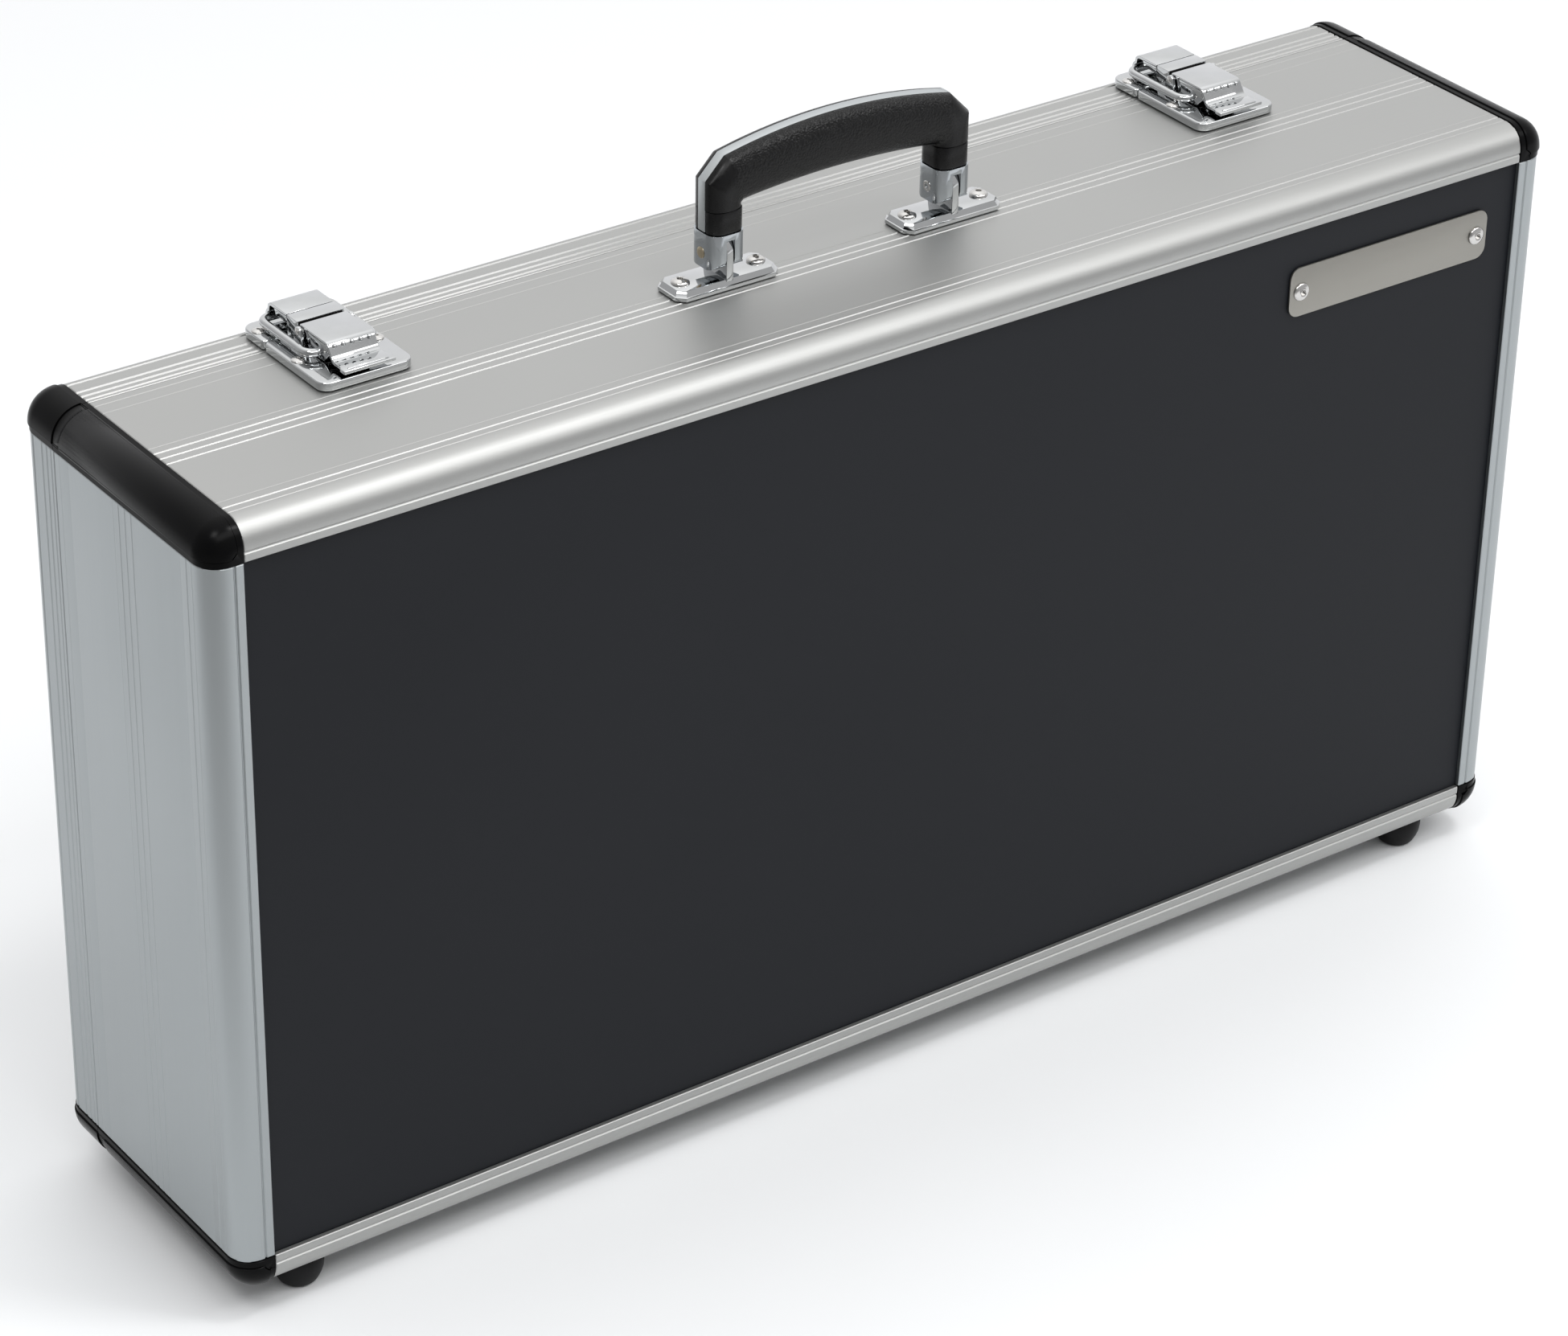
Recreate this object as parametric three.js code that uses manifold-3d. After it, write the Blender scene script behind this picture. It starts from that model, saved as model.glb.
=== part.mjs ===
// Aluminium attache case standing upright on its rubber feet.
// Two shells of grooved aluminium rails joined by black corner mouldings: a deep base with the
// front panel, carrying handle, latches and feet, and a shallow lid with the back panel.
// Millimetres. +X to the right, +Y towards the back, +Z up. The origin lies on the floor,
// under the middle of the whole object.

import * as THREE from 'three';
import { mergeVertices } from 'three/addons/utils/BufferGeometryUtils.js';
import Module from 'manifold-3d';

const wasm = await Module();
wasm.setup();

// ---------------------------------------------------------------- driving dimensions
const WIDTH = 630;              // over the aluminium rails
const HEIGHT = 330;
const DEPTH = 136;
const CORNER = 15;              // side of a corner moulding's square section
const CORNER_PROUD = 0.8;       // how far the mouldings stand out beyond the rails
const PARTING_Y = 110.6;        // plane where the base ends and the lid starts
const PARTING_GAP = 0.2;        // from that plane to either shell
const GAP = 0.3;                // clearance between pieces that touch

const WALL = 2;                 // rail wall
const EDGE_RADIUS = 10;         // rounding of the front and back edges
const CORNER_RADIUS = 13;       // rounding of the four long edges
const LIP = 2;                  // lip in front of a panel
const PANEL = 2.7;              // panel board
const FLANGE = 1.8;             // flange behind a panel
const REBATE_DEPTH = 8;         // inward distance where the panel's rebate starts
const TONGUE = { inner: 3.5, outer: 2.3, start: 103, reach: 3.5 };
const GROOVE = { width: 0.9, depth: 0.45 };
const BASE_GROOVES = [10.5, 14.4, 18.8, 53.6, 58.2, 62.7, 66.6, 100, 106.4];
const LID_GROOVES = [112.5, 116, 119.7];
const LIP_GROOVE = 11;          // inward distance of the groove that runs along a lip

const FOOT = { height: 14, radius: 10.5, tread: 9, dome: 6, x: 281, frontY: 17, backY: 92 };
const BADGE = { width: 105.5, height: 21.8, thickness: 1, radius: 5, x: 232.8, z: 287.1, pitch: 93.9 };

const HANDLE_Y = 66;
const HANDLE_LEG_X = 53.5;      // from the middle to each leg
const LEG = { x: 16, y: 16.4, radius: 5 };
const HANDLE_PLATE = { x: 47.5, y: 18, height: 4, cut: 3, bevel: 2, rivetPitch: 35 };
const PIVOT_Z = 344.5;          // axis that the handle folds about
const SOCKET = { bottom: 338.5, top: 353, round: 4, slot: 3.8, slotTop: 350.5 };
const LUG = { thickness: 3.2, radius: 5.7 };
const GRIP = { shoulderZ: 374.5, chamfer: 8.5, endZ: 383.2, topZ: 389.2, innerEndZ: 363, innerTopZ: 365.6 };
const GRIP_ROUND = 5.5;
const STRIP = { width: 4.4, thickness: 2 };

const LATCH_X = 206.7;
const LATCH = { width: 40, front: 68.5, back: 127.5, height: 3.8, chamfer: 0.9, corner: 5 };
const COVER = { half: 10.1, top: 343, sheet: 1.4 };   // flat covers on top of a latch
const LEVER_PIVOT = { y: 99.6, z: 340.6 };
const BAIL_PIVOT = { y: 87.5, z: 337 };
const LEVER = { back: 100.6, bend: 81.5, step: 78.3, tip: 68.2, stepZ: 337.4, tipHalf: 11.2 };
const BLOCK = { front: 102.6, back: 109.8 };
const EAR = { inner: 10.5, outer: 11.9, radius: 2 };
const BAIL = { half: 14.6, wire: 1.7, barY: 122.5, bend: 3.5, endHalf: 8.9 };
const CLAW = { front: 110.9, flat: 119.5, sheet: 1.2 };

const HINGE = { x: 180, width: 60, axisZ: -3, knuckle: 2.7, pin: 1.2, leaf: 1.3, reach: 20, count: 5 };
const PAD_MARGIN = 16;          // from the outside of the rails to a foam pad
const BASE_PAD = { from: 7.4, to: 13.4 };
const LID_PAD = { from: 118.6, to: 128.6 };

// ---------------------------------------------------------------- materials
function material(color, roughness, metalness) {
  return new THREE.MeshStandardMaterial({ color, roughness, metalness });
}
const ALUMINIUM = material(0xb9bbb9, 0.42, 0.9);
const BLACK_PLASTIC = material(0x232325, 0.45, 0);
const PANEL_BLACK = material(0x2e2f31, 0.6, 0);
const CHROME = material(0xd4d7d9, 0.08, 1);
const RUBBER = material(0x1f2022, 0.8, 0);
const STEEL = material(0x9c9fa1, 0.3, 1);
const BADGE_METAL = material(0xc2c4c6, 0.35, 0.9);
const FOAM = material(0x2a2b2d, 0.95, 0);

// ---------------------------------------------------------------- solid helpers
function solid(geometry) {
  const bare = geometry.clone();
  bare.deleteAttribute('normal');
  bare.deleteAttribute('uv');
  bare.clearGroups();
  const merged = mergeVertices(bare, 1e-4);
  const vertProperties = new Float32Array(merged.attributes.position.array);
  const triVerts = new Uint32Array(merged.index.array);
  return new wasm.Manifold(new wasm.Mesh({ numProp: 3, vertProperties, triVerts }));
}

function geometryOf(manifold) {
  const mesh = manifold.getMesh();
  const geometry = new THREE.BufferGeometry();
  const positions = new Float32Array(mesh.numVert * 3);
  for (let i = 0; i < mesh.numVert; i++) {
    for (let k = 0; k < 3; k++) {
      positions[i * 3 + k] = mesh.vertProperties[i * mesh.numProp + k];
    }
  }
  geometry.setAttribute('position', new THREE.BufferAttribute(positions, 3));
  geometry.setIndex(new THREE.BufferAttribute(new Uint32Array(mesh.triVerts), 1));
  geometry.computeVertexNormals();
  return geometry;
}

const join = (first, ...others) => {
  return geometryOf(others.reduce((sum, g) => sum.add(solid(g)), solid(first)));
};
const cut = (first, ...others) => {
  return geometryOf(others.reduce((rest, g) => rest.subtract(solid(g)), solid(first)));
};
const common = (first, second) => geometryOf(solid(first).intersect(solid(second)));

function box(x0, x1, y0, y1, z0, z1) {
  const geometry = new THREE.BoxGeometry(x1 - x0, y1 - y0, z1 - z0);
  return geometry.translate((x0 + x1) / 2, (y0 + y1) / 2, (z0 + z1) / 2);
}

function shapeOf(points) {
  return new THREE.Shape(points.map(([a, b]) => new THREE.Vector2(a, b)));
}

// Points are (x, y), extruded from z0 to z1.
function prismZ(points, z0, z1) {
  const geometry = new THREE.ExtrudeGeometry(shapeOf(points), { depth: z1 - z0, bevelEnabled: false });
  return geometry.translate(0, 0, z0);
}

// Points are (y, z), extruded from x0 to x1.
function prismX(points, x0, x1) {
  const geometry = new THREE.ExtrudeGeometry(shapeOf(points), { depth: x1 - x0, bevelEnabled: false });
  geometry.rotateX(Math.PI / 2);
  geometry.rotateZ(Math.PI / 2);
  return geometry.translate(x0, 0, 0);
}

// Points are (x, z), extruded from y0 to y1.
function prismY(points, y0, y1) {
  const geometry = new THREE.ExtrudeGeometry(shapeOf(points), { depth: y1 - y0, bevelEnabled: false });
  geometry.rotateX(Math.PI / 2);
  return geometry.translate(0, y1, 0);
}

// Round bar along X, centred on (y, z).
function barX(radius, x0, x1, y, z, sides = 16) {
  const geometry = new THREE.CylinderGeometry(radius, radius, x1 - x0, sides);
  geometry.rotateZ(Math.PI / 2);
  return geometry.translate((x0 + x1) / 2, y, z);
}

function arc(cx, cy, radius, fromDeg, toDeg, steps) {
  const points = [];
  for (let i = 0; i <= steps; i++) {
    const angle = THREE.MathUtils.degToRad(fromDeg + ((toDeg - fromDeg) * i) / steps);
    points.push([cx + radius * Math.cos(angle), cy + radius * Math.sin(angle)]);
  }
  return points;
}

function roundedRect(halfX, halfY, radius, steps = 5) {
  const x = halfX - radius;
  const y = halfY - radius;
  return [
    ...arc(x, y, radius, 0, 90, steps),
    ...arc(-x, y, radius, 90, 180, steps),
    ...arc(-x, -y, radius, 180, 270, steps),
    ...arc(x, -y, radius, 270, 360, steps),
  ];
}

// Skin over rings that all hold the same number of points, closed at both ends.
function loft(rings) {
  const count = rings[0].length;
  const positions = rings.flat().flat();
  const index = [];
  for (let r = 0; r + 1 < rings.length; r++) {
    for (let i = 0; i < count; i++) {
      const a = r * count + i;
      const b = r * count + ((i + 1) % count);
      index.push(a, b, b + count, a, b + count, a + count);
    }
  }
  const last = (rings.length - 1) * count;
  for (let i = 1; i + 1 < count; i++) {
    index.push(0, i + 1, i);
    index.push(last, last + i, last + i + 1);
  }
  const geometry = new THREE.BufferGeometry();
  geometry.setAttribute('position', new THREE.Float32BufferAttribute(positions, 3));
  geometry.setIndex(index);
  geometry.computeVertexNormals();
  return geometry;
}

// ---------------------------------------------------------------- scene graph
const attacheCase = new THREE.Group();
const shell = new THREE.Group();
shell.position.set(0, -DEPTH / 2, FOOT.height);
attacheCase.add(shell);

function add(name, geometry, finish, x = 0, y = 0, z = 0) {
  const mesh = new THREE.Mesh(geometry, finish);
  mesh.name = name;
  mesh.position.set(x, y, z);
  shell.add(mesh);
  return mesh;
}

const SIDES = [
  { name: 'left', sign: -1 },
  { name: 'right', sign: 1 },
];

// ---------------------------------------------------------------- rails
// Profiles are (inward distance from the outer face, y).
function groovePoints(y) {
  const half = GROOVE.width / 2;
  return [[0, y - half], [GROOVE.depth, y], [0, y + half]];
}

function lipGroove(y, inwards) {
  const half = GROOVE.width / 2;
  return [[LIP_GROOVE + half, y], [LIP_GROOVE, y + inwards * GROOVE.depth], [LIP_GROOVE - half, y]];
}

function baseProfile() {
  const flangeBack = LIP + 2 * GAP + PANEL + FLANGE;
  const end = PARTING_Y - PARTING_GAP;
  return [
    [CORNER, 0],
    ...lipGroove(0, 1),
    ...arc(EDGE_RADIUS, EDGE_RADIUS, EDGE_RADIUS, 270, 180, 9),
    ...BASE_GROOVES.flatMap(groovePoints),
    [0, end],
    [TONGUE.outer, end],
    [TONGUE.outer, end + TONGUE.reach],
    [TONGUE.inner, end + TONGUE.reach],
    [TONGUE.inner, TONGUE.start],
    [WALL, TONGUE.start - WALL],
    [WALL, flangeBack],
    [CORNER, flangeBack],
    [CORNER, flangeBack - FLANGE],
    [REBATE_DEPTH, flangeBack - FLANGE],
    [REBATE_DEPTH, LIP],
    [CORNER, LIP],
  ];
}

function lidProfile() {
  const flangeFront = DEPTH - LIP - 2 * GAP - PANEL - FLANGE;
  return [
    [CORNER, DEPTH],
    [CORNER, DEPTH - LIP],
    [REBATE_DEPTH, DEPTH - LIP],
    [REBATE_DEPTH, flangeFront + FLANGE],
    [CORNER, flangeFront + FLANGE],
    [CORNER, flangeFront],
    [WALL, flangeFront],
    [WALL, PARTING_Y + PARTING_GAP],
    [0, PARTING_Y + PARTING_GAP],
    ...LID_GROOVES.flatMap(groovePoints),
    ...arc(EDGE_RADIUS, DEPTH - EDGE_RADIUS, EDGE_RADIUS, 180, 90, 9),
    ...lipGroove(DEPTH, -1).reverse(),
  ];
}

function addRails(prefix, profile) {
  const places = [
    { name: 'left', turn: 0, length: HEIGHT, x: -WIDTH / 2, z: HEIGHT / 2 },
    { name: 'top', turn: 90, length: WIDTH, x: 0, z: HEIGHT },
    { name: 'right', turn: 180, length: HEIGHT, x: WIDTH / 2, z: HEIGHT / 2 },
    { name: 'bottom', turn: 270, length: WIDTH, x: 0, z: 0 },
  ];
  for (const place of places) {
    const length = place.length - 2 * CORNER - 2 * GAP;
    const rail = add(`${prefix}_rail_${place.name}`, prismZ(profile, -length / 2, length / 2), ALUMINIUM);
    rail.position.set(place.x, 0, place.z);
    rail.rotation.y = THREE.MathUtils.degToRad(place.turn);
  }
}
addRails('base', baseProfile());
addRails('lid', lidProfile());

// ---------------------------------------------------------------- corner mouldings
// Rings start at the square section and shrink towards the rounded end.
function cornerMoulding(fromY, toY) {
  const steps = 5;
  const rings = [[toY, 0]];
  for (let i = 0; i <= steps; i++) {
    const angle = (Math.PI / 2) * (i / steps);
    const inset = EDGE_RADIUS * (1 - Math.cos(angle));
    const y = fromY + Math.sign(toY - fromY) * EDGE_RADIUS * (1 - Math.sin(angle));
    rings.push([y, inset]);
  }
  const centre = CORNER_RADIUS - CORNER_PROUD;
  const outline = (y, inset) => [
    [CORNER, y, CORNER],
    [inset - CORNER_PROUD, y, CORNER],
    ...arc(centre, centre, CORNER_RADIUS - inset, 180, 270, 6).map(([a, c]) => [a, y, c]),
    [CORNER, y, inset - CORNER_PROUD],
  ];
  const ordered = rings.map(([y, inset]) => outline(y, inset));
  return loft(toY > fromY ? ordered : ordered.reverse());
}

function addCorners(prefix, fromY, toY) {
  const places = [
    { name: 'bottom_left', turn: 0, x: -WIDTH / 2, z: 0 },
    { name: 'top_left', turn: 90, x: -WIDTH / 2, z: HEIGHT },
    { name: 'top_right', turn: 180, x: WIDTH / 2, z: HEIGHT },
    { name: 'bottom_right', turn: 270, x: WIDTH / 2, z: 0 },
  ];
  for (const place of places) {
    const corner = add(`${prefix}_corner_${place.name}`, cornerMoulding(fromY, toY), BLACK_PLASTIC);
    corner.position.set(place.x, 0, place.z);
    corner.rotation.y = THREE.MathUtils.degToRad(place.turn);
  }
}
addCorners('base', 0, PARTING_Y - PARTING_GAP);
addCorners('lid', DEPTH, PARTING_Y + PARTING_GAP);

// ---------------------------------------------------------------- panels and linings
// A board whose edges run under the lips and whose corners stop at the mouldings.
function panelOutline() {
  const innerX = WIDTH / 2 - CORNER - GAP;
  const outerX = WIDTH / 2 - REBATE_DEPTH - GAP;
  const innerZ = HEIGHT / 2 - CORNER - GAP;
  const outerZ = HEIGHT / 2 - REBATE_DEPTH - GAP;
  return [
    [innerX, -outerZ], [innerX, -innerZ], [outerX, -innerZ],
    [outerX, innerZ], [innerX, innerZ], [innerX, outerZ],
    [-innerX, outerZ], [-innerX, innerZ], [-outerX, innerZ],
    [-outerX, -innerZ], [-innerX, -innerZ], [-innerX, -outerZ],
  ];
}
const frontPanelY = LIP + GAP;
const backPanelY = DEPTH - LIP - GAP;
add('front_panel', prismY(panelOutline(), frontPanelY, frontPanelY + PANEL), PANEL_BLACK, 0, 0, HEIGHT / 2);
add('back_panel', prismY(panelOutline(), backPanelY - PANEL, backPanelY), PANEL_BLACK, 0, 0, HEIGHT / 2);

function addPad(name, pad) {
  const outline = roundedRect(WIDTH / 2 - PAD_MARGIN, HEIGHT / 2 - PAD_MARGIN, 8, 3);
  add(name, prismY(outline, pad.from, pad.to), FOAM, 0, 0, HEIGHT / 2);
}
addPad('base_foam_pad', BASE_PAD);
addPad('lid_foam_pad', LID_PAD);

// ---------------------------------------------------------------- badge
const badgeOutline = roundedRect(BADGE.width / 2, BADGE.height / 2, BADGE.radius, 4);
const badgeBack = frontPanelY - GAP;
const badgeFront = badgeBack - BADGE.thickness;
add('badge_plate', prismY(badgeOutline, badgeFront, badgeBack), BADGE_METAL, BADGE.x, 0, BADGE.z);

// Domed head on a flat face, lathed about +Z; a small hole marks where the mandrel broke off.
function rivetHead(radius, height, holeRadius) {
  const rim = arc(0, 0, 1, 0, 62, 3).map(([a, b]) => [radius * a, height * b]);
  const floor = height * 0.4;
  const points = [[0, 0], ...rim, [holeRadius, height], [holeRadius, floor], [0, floor]];
  const geometry = new THREE.LatheGeometry(points.map(([a, b]) => new THREE.Vector2(a, b)), 14);
  return geometry.rotateX(Math.PI / 2);
}
for (const side of SIDES) {
  const head = rivetHead(4, badgeFront - GAP, 1.1).rotateX(Math.PI / 2);
  const x = BADGE.x + (side.sign * BADGE.pitch) / 2;
  add(`badge_rivet_${side.name}`, head, STEEL, x, badgeFront - GAP, BADGE.z);
}

// ---------------------------------------------------------------- feet
function foot() {
  const { height, radius, tread, dome } = FOOT;
  const quarter = arc(0, 0, 1, -75, 0, 4);
  const flare = quarter.map(([a, b]) => [tread + (radius - tread) * a, dome * (1 + b) - height]);
  const points = [[0, -height], [tread - 2, -height], ...flare, [radius, -GAP], [0, -GAP]];
  const geometry = new THREE.LatheGeometry(points.map(([a, b]) => new THREE.Vector2(a, b)), 18);
  return geometry.rotateX(Math.PI / 2);
}
for (const side of SIDES) {
  add(`foot_front_${side.name}`, foot(), RUBBER, side.sign * FOOT.x, FOOT.frontY, 0);
  add(`foot_back_${side.name}`, foot(), RUBBER, side.sign * FOOT.x, FOOT.backY, 0);
}

// ---------------------------------------------------------------- handle mounts
const plateBottom = HEIGHT + GAP;
const plateTop = plateBottom + HANDLE_PLATE.height;

function cutCornerRect(halfX, halfY, cutOff) {
  return [
    [halfX, -halfY + cutOff], [halfX, halfY - cutOff], [halfX - cutOff, halfY],
    [-halfX + cutOff, halfY], [-halfX, halfY - cutOff], [-halfX, -halfY + cutOff],
    [-halfX + cutOff, -halfY], [halfX - cutOff, -halfY],
  ];
}

function handlePlate() {
  const ring = (inset, z) =>
    cutCornerRect(HANDLE_PLATE.x / 2 - inset, HANDLE_PLATE.y / 2 - inset, HANDLE_PLATE.cut - inset / 3)
      .map(([x, y]) => [x, y, z]);
  const plate = loft([
    ring(0, plateBottom),
    ring(0, plateBottom + HANDLE_PLATE.height / 2),
    ring(HANDLE_PLATE.bevel, plateTop),
  ]);
  const boss = new THREE.CylinderGeometry(LUG.radius, 7.5, 2.2, 20);
  boss.rotateX(Math.PI / 2).translate(0, 0, plateTop);
  const lugOutline = [
    [-LUG.radius, plateBottom + 1],
    [LUG.radius, plateBottom + 1],
    ...arc(0, PIVOT_Z, LUG.radius, 0, 180, 10),
  ];
  const lug = prismX(lugOutline, -LUG.thickness / 2, LUG.thickness / 2);
  const bore = barX(2.6, -LUG.thickness, LUG.thickness, 0, PIVOT_Z);
  return cut(join(plate, boss, lug), bore);
}

function socket() {
  const outline = roundedRect(LEG.x / 2, LEG.y / 2, LEG.radius, 4);
  const side = [
    [-LEG.y / 2, SOCKET.top],
    ...arc(-LEG.y / 2 + SOCKET.round, SOCKET.bottom + SOCKET.round, SOCKET.round, 180, 270, 4),
    ...arc(LEG.y / 2 - SOCKET.round, SOCKET.bottom + SOCKET.round, SOCKET.round, 270, 360, 4),
    [LEG.y / 2, SOCKET.top],
  ];
  const body = common(prismZ(outline, SOCKET.bottom, SOCKET.top), prismX(side, -LEG.x, LEG.x));
  const slot = box(-SOCKET.slot / 2, SOCKET.slot / 2, -LEG.y, LEG.y, SOCKET.bottom - 1, SOCKET.slotTop);
  return cut(body, slot, barX(2.6, -LEG.x, LEG.x, 0, PIVOT_Z));
}

for (const side of SIDES) {
  const x = side.sign * HANDLE_LEG_X;
  add(`handle_plate_${side.name}`, handlePlate(), CHROME, x, HANDLE_Y, 0);
  add(`handle_socket_${side.name}`, socket(), CHROME, x, HANDLE_Y, 0);
  const pin = barX(2.3, -LEG.x / 2 - 0.2, LEG.x / 2 + 0.2, 0, 0);
  add(`handle_pin_${side.name}`, pin, STEEL, x, HANDLE_Y, PIVOT_Z);
  for (const end of SIDES) {
    const place = end.sign === side.sign ? 'outer' : 'inner';
    const rivetX = x + (end.sign * HANDLE_PLATE.rivetPitch) / 2;
    const head = rivetHead(3.7, 1.6, 1);
    add(`handle_rivet_${side.name}_${place}`, head, STEEL, rivetX, HANDLE_Y, plateTop + GAP);
  }
}

// ---------------------------------------------------------------- handle grip
// Outer edge of the grip in (x, z): up a leg, across the chamfer and over the arch.
function gripOuter(footZ) {
  const outerX = HANDLE_LEG_X + LEG.x / 2;
  const archX = outerX - GRIP.chamfer;
  const arch = [];
  const steps = 14;
  for (let i = 0; i <= steps; i++) {
    const t = -1 + (2 * i) / steps;
    arch.push([t * archX, GRIP.endZ + (GRIP.topZ - GRIP.endZ) * (1 - t * t)]);
  }
  return [[-outerX, footZ], [-outerX, GRIP.shoulderZ], ...arch, [outerX, GRIP.shoulderZ], [outerX, footZ]];
}

function gripInner(footZ) {
  const innerX = HANDLE_LEG_X - LEG.x / 2;
  const arch = [];
  const steps = 8;
  for (let i = 0; i <= steps; i++) {
    const t = 1 - (2 * i) / steps;
    arch.push([t * innerX, GRIP.innerEndZ + (GRIP.innerTopZ - GRIP.innerEndZ) * (1 - t * t)]);
  }
  return [[innerX, footZ], ...arch, [-innerX, footZ]];
}

// Moves a path sideways, to its right when positive, with mitred corners.
function offsetPath(path, distance) {
  const normals = path.slice(1).map(([x, z], i) => {
    const [dx, dz] = [x - path[i][0], z - path[i][1]];
    const length = Math.hypot(dx, dz);
    return [dz / length, -dx / length];
  });
  return path.map(([x, z], i) => {
    const a = normals[Math.max(i - 1, 0)];
    const b = normals[Math.min(i, normals.length - 1)];
    const scale = distance / (1 + a[0] * b[0] + a[1] * b[1]);
    return [x + (a[0] + b[0]) * scale, z + (a[1] + b[1]) * scale];
  });
}

function band(footZ, outside, inside) {
  const path = gripOuter(footZ);
  return [...offsetPath(path, outside), ...offsetPath(path, inside).reverse()];
}

function grip() {
  const footZ = SOCKET.top - 10;
  const outline = [...gripOuter(footZ), ...gripInner(footZ)];
  const blank = new THREE.ExtrudeGeometry(shapeOf(outline), {
    depth: LEG.y - 2 * GRIP_ROUND,
    bevelThickness: GRIP_ROUND,
    bevelSize: GRIP_ROUND,
    bevelOffset: -GRIP_ROUND,
    bevelSegments: 4,
  });
  blank.rotateX(Math.PI / 2).translate(0, LEG.y / 2 - GRIP_ROUND, 0);
  const below = box(-100, 100, -20, 20, footZ - 20, SOCKET.top + GAP);
  const half = STRIP.width / 2 + GAP;
  const channel = prismY(band(footZ - 20, -3, STRIP.thickness + GAP), -half, half);
  return cut(blank, below, channel);
}
add('handle_grip', grip(), BLACK_PLASTIC, 0, HANDLE_Y, 0);
const stripShape = band(SOCKET.top + 2 * GAP, 0, STRIP.thickness);
add('handle_strip', prismY(stripShape, -STRIP.width / 2, STRIP.width / 2), ALUMINIUM, 0, HANDLE_Y, 0);

// ---------------------------------------------------------------- latches
const latchBottom = HEIGHT + GAP;
const latchTop = latchBottom + LATCH.height;

// A raised plate with a chamfered edge on three sides; the fourth side meets the parting plane.
function latchPlate(closedY, openY) {
  const direction = Math.sign(openY - closedY);
  const ring = (inset) => {
    const half = LATCH.width / 2 - inset;
    const radius = LATCH.corner - inset;
    const y = closedY + direction * LATCH.corner;
    const turn = direction > 0 ? [180, 270, 270, 360] : [180, 90, 90, 0];
    const points = [
      [-half, openY],
      ...arc(-half + radius, y, radius, turn[0], turn[1], 5),
      ...arc(half - radius, y, radius, turn[2], turn[3], 5),
      [half, openY],
    ];
    return direction > 0 ? points : points.reverse();
  };
  const at = (inset, z) => ring(inset).map(([x, y]) => [x, y, z]);
  return loft([at(0, latchBottom), at(0, latchTop - LATCH.chamfer), at(LATCH.chamfer, latchTop)]);
}

function latchBase() {
  const plate = latchPlate(LATCH.front, PARTING_Y - PARTING_GAP);
  const sink = latchTop - 0.4;
  const block = box(-COVER.half, COVER.half, BLOCK.front, BLOCK.back, sink, COVER.top);
  const { y, z } = LEVER_PIVOT;
  const earOutline = [[y - 4, sink], [y + 4, sink], ...arc(y, z, EAR.radius, 0, 180, 8)];
  const ears = SIDES.map(({ sign }) => {
    const [a, b] = [sign * EAR.inner, sign * EAR.outer];
    return prismX(earOutline, Math.min(a, b), Math.max(a, b));
  });
  return cut(join(plate, block, ...ears), barX(1.3, -EAR.outer - 1, EAR.outer + 1, y, z, 12));
}

function latchKeeper() {
  const plate = latchPlate(LATCH.back, PARTING_Y + PARTING_GAP);
  const ridge = [[115.8, latchTop - 0.4], [119.4, latchTop - 0.4], [119.2, 335], [117.6, 335]];
  return join(plate, prismX(ridge, -8, 8));
}

function latchLever() {
  const { back, bend, step, tip, stepZ } = LEVER;
  const under = COVER.sheet;
  const cover = [
    [back, COVER.top], [bend, COVER.top], [step, stepZ], [step, stepZ - under],
    [step + 0.6, stepZ - under], [bend + 0.8, COVER.top - under], [back, COVER.top - under],
  ];
  const lip = [[step + 0.6, stepZ], [tip, stepZ - 0.3], [tip, stepZ - 1.7], [step + 0.6, stepZ - under]];
  const { y, z } = LEVER_PIVOT;
  const flange = [
    [back, COVER.top - 0.2], [bend + 1, COVER.top - 0.2], [bend + 1, 338], [BAIL_PIVOT.y - 3.1, 334.5],
    [BAIL_PIVOT.y + 8, 334.5], [y + 1.6, z - 2.1], [y + 2.3, z],
  ].reverse();
  const flanges = SIDES.map(({ sign }) => {
    const [a, b] = [sign * (COVER.half - COVER.sheet), sign * COVER.half];
    return prismX(flange, Math.min(a, b), Math.max(a, b));
  });
  const body = join(
    prismX(cover.reverse(), -COVER.half, COVER.half),
    prismX(lip.reverse(), -LEVER.tipHalf, LEVER.tipHalf),
    ...flanges,
  );
  const pivotHole = barX(1.3, -LATCH.width, LATCH.width, y, z, 12);
  const bailHole = barX(BAIL.wire + GAP, -LATCH.width, LATCH.width, BAIL_PIVOT.y, BAIL_PIVOT.z, 16);
  return cut(body, pivotHole, bailHole);
}

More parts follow.
